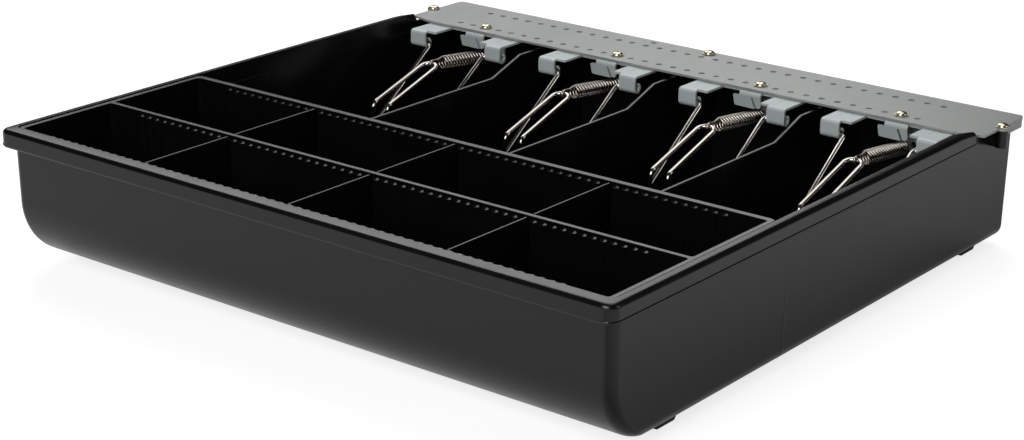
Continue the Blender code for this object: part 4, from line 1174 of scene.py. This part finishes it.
def make_clips():
    half = wire_points()
    corners = half + [(-x, y, z) for x, y, z in reversed(half)]
    wire_path = rounded_path(corners, WIRE_BEND, 10)
    spring_path = spring_points()
    for number, (index, shift) in enumerate(zip(CLIP_HOLES, CLIP_SHIFTS), 1):
        x = hole_x(index) + shift
        bracket = add_object(f"clip_sheet_{number}", bracket_mesh(), (x, 0.0, 0.0))
        place_piece(bracket, "zinc_steel", "root", f"clip_bracket_{number}")
        wire = swept_wire(f"note_wire_{number}", wire_path, WIRE / 2, 20)
        obj = add_object(f"note_wire_{number}", wire, (x, HINGE_Y, HINGE_Z))
        place_piece(obj, "nickel_wire", f"wire_clip_{number}", f"wire_clip_{number}")
        spring = swept_wire(f"tension_spring_{number}", spring_path, SPRING_WIRE / 2, 10)
        obj = add_object(f"tension_spring_{number}", spring, (x, 0.0, 0.0))
        obj.data.materials.append(MATERIALS["spring_steel"])
        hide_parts(f"clip_spring_{number}")
        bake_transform(obj)


# Feet

def make_feet():
    for end in ("front", "rear"):
        for side in ("left", "right"):
            name = f"foot_{end}_{side}"
            low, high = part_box(name)
            bevel = 0.0035
            outline = [(low.y + bevel, low.z), (high.y - bevel, low.z), (high.y, high.z), (low.y, high.z)]
            mesh = bevelled(prism(outline, 0, low.x, high.x), 0.0005, 3)
            mesh.name = name
            place_piece(add_object(f"pad_{end}_{side}", mesh), "foot_rubber", "root", name)


# Stage, light and camera

def make_stage():
    """Pale floor: white for the camera, with the tray's shadow; painted light and shade by place in
    reflections.
    """
    bm = bmesh.new()
    bmesh.ops.create_grid(bm, x_segments=1, y_segments=1, size=FLOOR_HALF)
    mesh = bpy.data.meshes.new("floor")
    bm.to_mesh(mesh)
    bm.free()
    floor = add_object("floor", mesh)
    material, tree, shader = new_material("pale_floor", Base_Color=(*grey(FLOOR_TONE), 1.0),
                                          Roughness=0.9, Specular_IOR_Level=0.0)
    path = add_node(tree, "LightPath")
    place = add_node(tree, "TexCoord").outputs["Object"]
    split = add_node(tree, "SeparateXYZ", Vector=place)
    away = tree.nodes.new("ShaderNodeVectorMath")
    away.operation = "LENGTH"
    tree.links.new(place, away.inputs[0])
    across_x = split.outputs["X"]
    across_y = split.outputs["Y"]
    # Painted light in reflections: the floor's glow is strong in front, weak behind, dark close to the
    # right wall and brighter away from it.
    depth_glow = ramp(tree, across_y, -0.30, 0.40, 0.70, 0.06)
    side_glow = ramp(tree, across_x, 0.19, 0.31, 0.08, 0.63)
    beside = ramp(tree, across_x, 0.160, 0.200, 0.0, 1.0)
    difference = calculate(tree, "SUBTRACT", side_glow, depth_glow)
    reflected = calculate(tree, "MULTIPLY_ADD", difference, beside, depth_glow)
    # Painted shade in reflections: behind the tray's left side the floor's glow and its diffuse reply
    # fade to black.
    shade = calculate(tree, "MULTIPLY", ramp(tree, across_x, -0.32, -0.20, 1.0, 0.0),
                      ramp(tree, across_y, -0.12, 0.0, 0.0, 0.96))
    kept = calculate(tree, "SUBTRACT", 1.0, shade)
    reflected = calculate(tree, "MULTIPLY", reflected, kept)
    glossy = path.outputs["Is Glossy Ray"]
    seen = calculate(tree, "MULTIPLY_ADD", glossy, reflected, path.outputs["Is Camera Ray"])
    strength = ramp(tree, away.outputs["Value"], 0.7, 2.2, 0.78, 1.0)
    glow = add_node(tree, "Emission", Strength=strength).outputs["Emission"]
    nothing = add_node(tree, "Emission", Strength=0.0).outputs["Emission"]
    dimmed = calculate(tree, "MULTIPLY", glossy, shade)
    total = tree.nodes.new("ShaderNodeAddShader")
    tree.links.new(mixed(tree, dimmed, shader.outputs["BSDF"], nothing), total.inputs[0])
    tree.links.new(mixed(tree, seen, nothing, glow), total.inputs[1])
    tree.links.new(total.outputs["Shader"], tree.nodes["Material Output"].inputs["Surface"])
    floor.data.materials.append(material)
    floor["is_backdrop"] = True


def make_world():
    """White for the camera; a dim room for everything else."""
    world = bpy.data.worlds.new("studio")
    bpy.context.scene.world = world
    world.use_nodes = True
    tree = world.node_tree
    tree.nodes.clear()
    white = add_node(tree, "Background", Color=(*grey(1.0), 1.0)).outputs["Background"]
    room = add_node(tree, "Background", Color=(*grey(ROOM_TONE), 1.0)).outputs["Background"]
    camera_ray = add_node(tree, "LightPath").outputs["Is Camera Ray"]
    add_node(tree, "OutputWorld", Surface=mixed(tree, camera_ray, room, white))


def softbox(name, azimuth, elevation, distance, width, height, radiance):
    """Flat rectangular lamp that faces the tray; azimuth from +X, elevation above the floor."""
    turn = math.radians(azimuth)
    lift = math.radians(elevation)
    out = Vector((math.cos(turn) * math.cos(lift), math.sin(turn) * math.cos(lift), math.sin(lift)))
    lamp = bpy.data.lights.new(name, "AREA")
    lamp.shape = "RECTANGLE"
    lamp.size = width
    lamp.size_y = height
    lamp.energy = math.pi * radiance * width * height
    obj = bpy.data.objects.new(name, lamp)
    obj.location = out * distance + Vector((0.0, 0.0, TOP))
    obj.rotation_euler = out.to_track_quat("Z", "Y").to_euler()
    bpy.context.scene.collection.objects.link(obj)


def make_lights():
    softbox("top_box", 100, 72, 1.5, 1.0, 1.0, 2.0)
    softbox("front_box", 285, 28, 1.6, 1.0, 1.0, 5.9)
    softbox("rear_left_box", 137, 33, 1.7, 1.6, 0.95, 1.85)
    softbox("left_box", 156, 49, 1.5, 0.35, 0.35, 4.5)
    softbox("right_box", 24, 22, 1.6, 0.5, 0.5, 2.5)


def make_camera():
    data = bpy.data.cameras.new("camera")
    data.lens = CAMERA_LENS
    data.sensor_width = 36.0
    data.sensor_fit = "HORIZONTAL"
    data.clip_start = 0.01
    camera = bpy.data.objects.new("camera", data)
    up = CAMERA_RIGHT.cross(CAMERA_FORWARD)
    turn = Matrix((CAMERA_RIGHT, up, -CAMERA_FORWARD)).transposed().to_4x4()
    camera.matrix_world = Matrix.Translation(CAMERA_PLACE) @ turn
    bpy.context.scene.collection.objects.link(camera)
    bpy.context.scene.camera = camera
    bpy.context.scene.view_settings.view_transform = "Standard"


def plain(bounds):
    return [[round(float(value), 5) for value in corner] for corner in bounds]


make_shell()
make_coin_insert()
make_coin_dividers()
make_plate()
make_screws()
make_clips()
make_feet()
make_stage()
make_world()
make_lights()
make_camera()
{"cad": plain(cad_box), "visual": plain(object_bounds())}
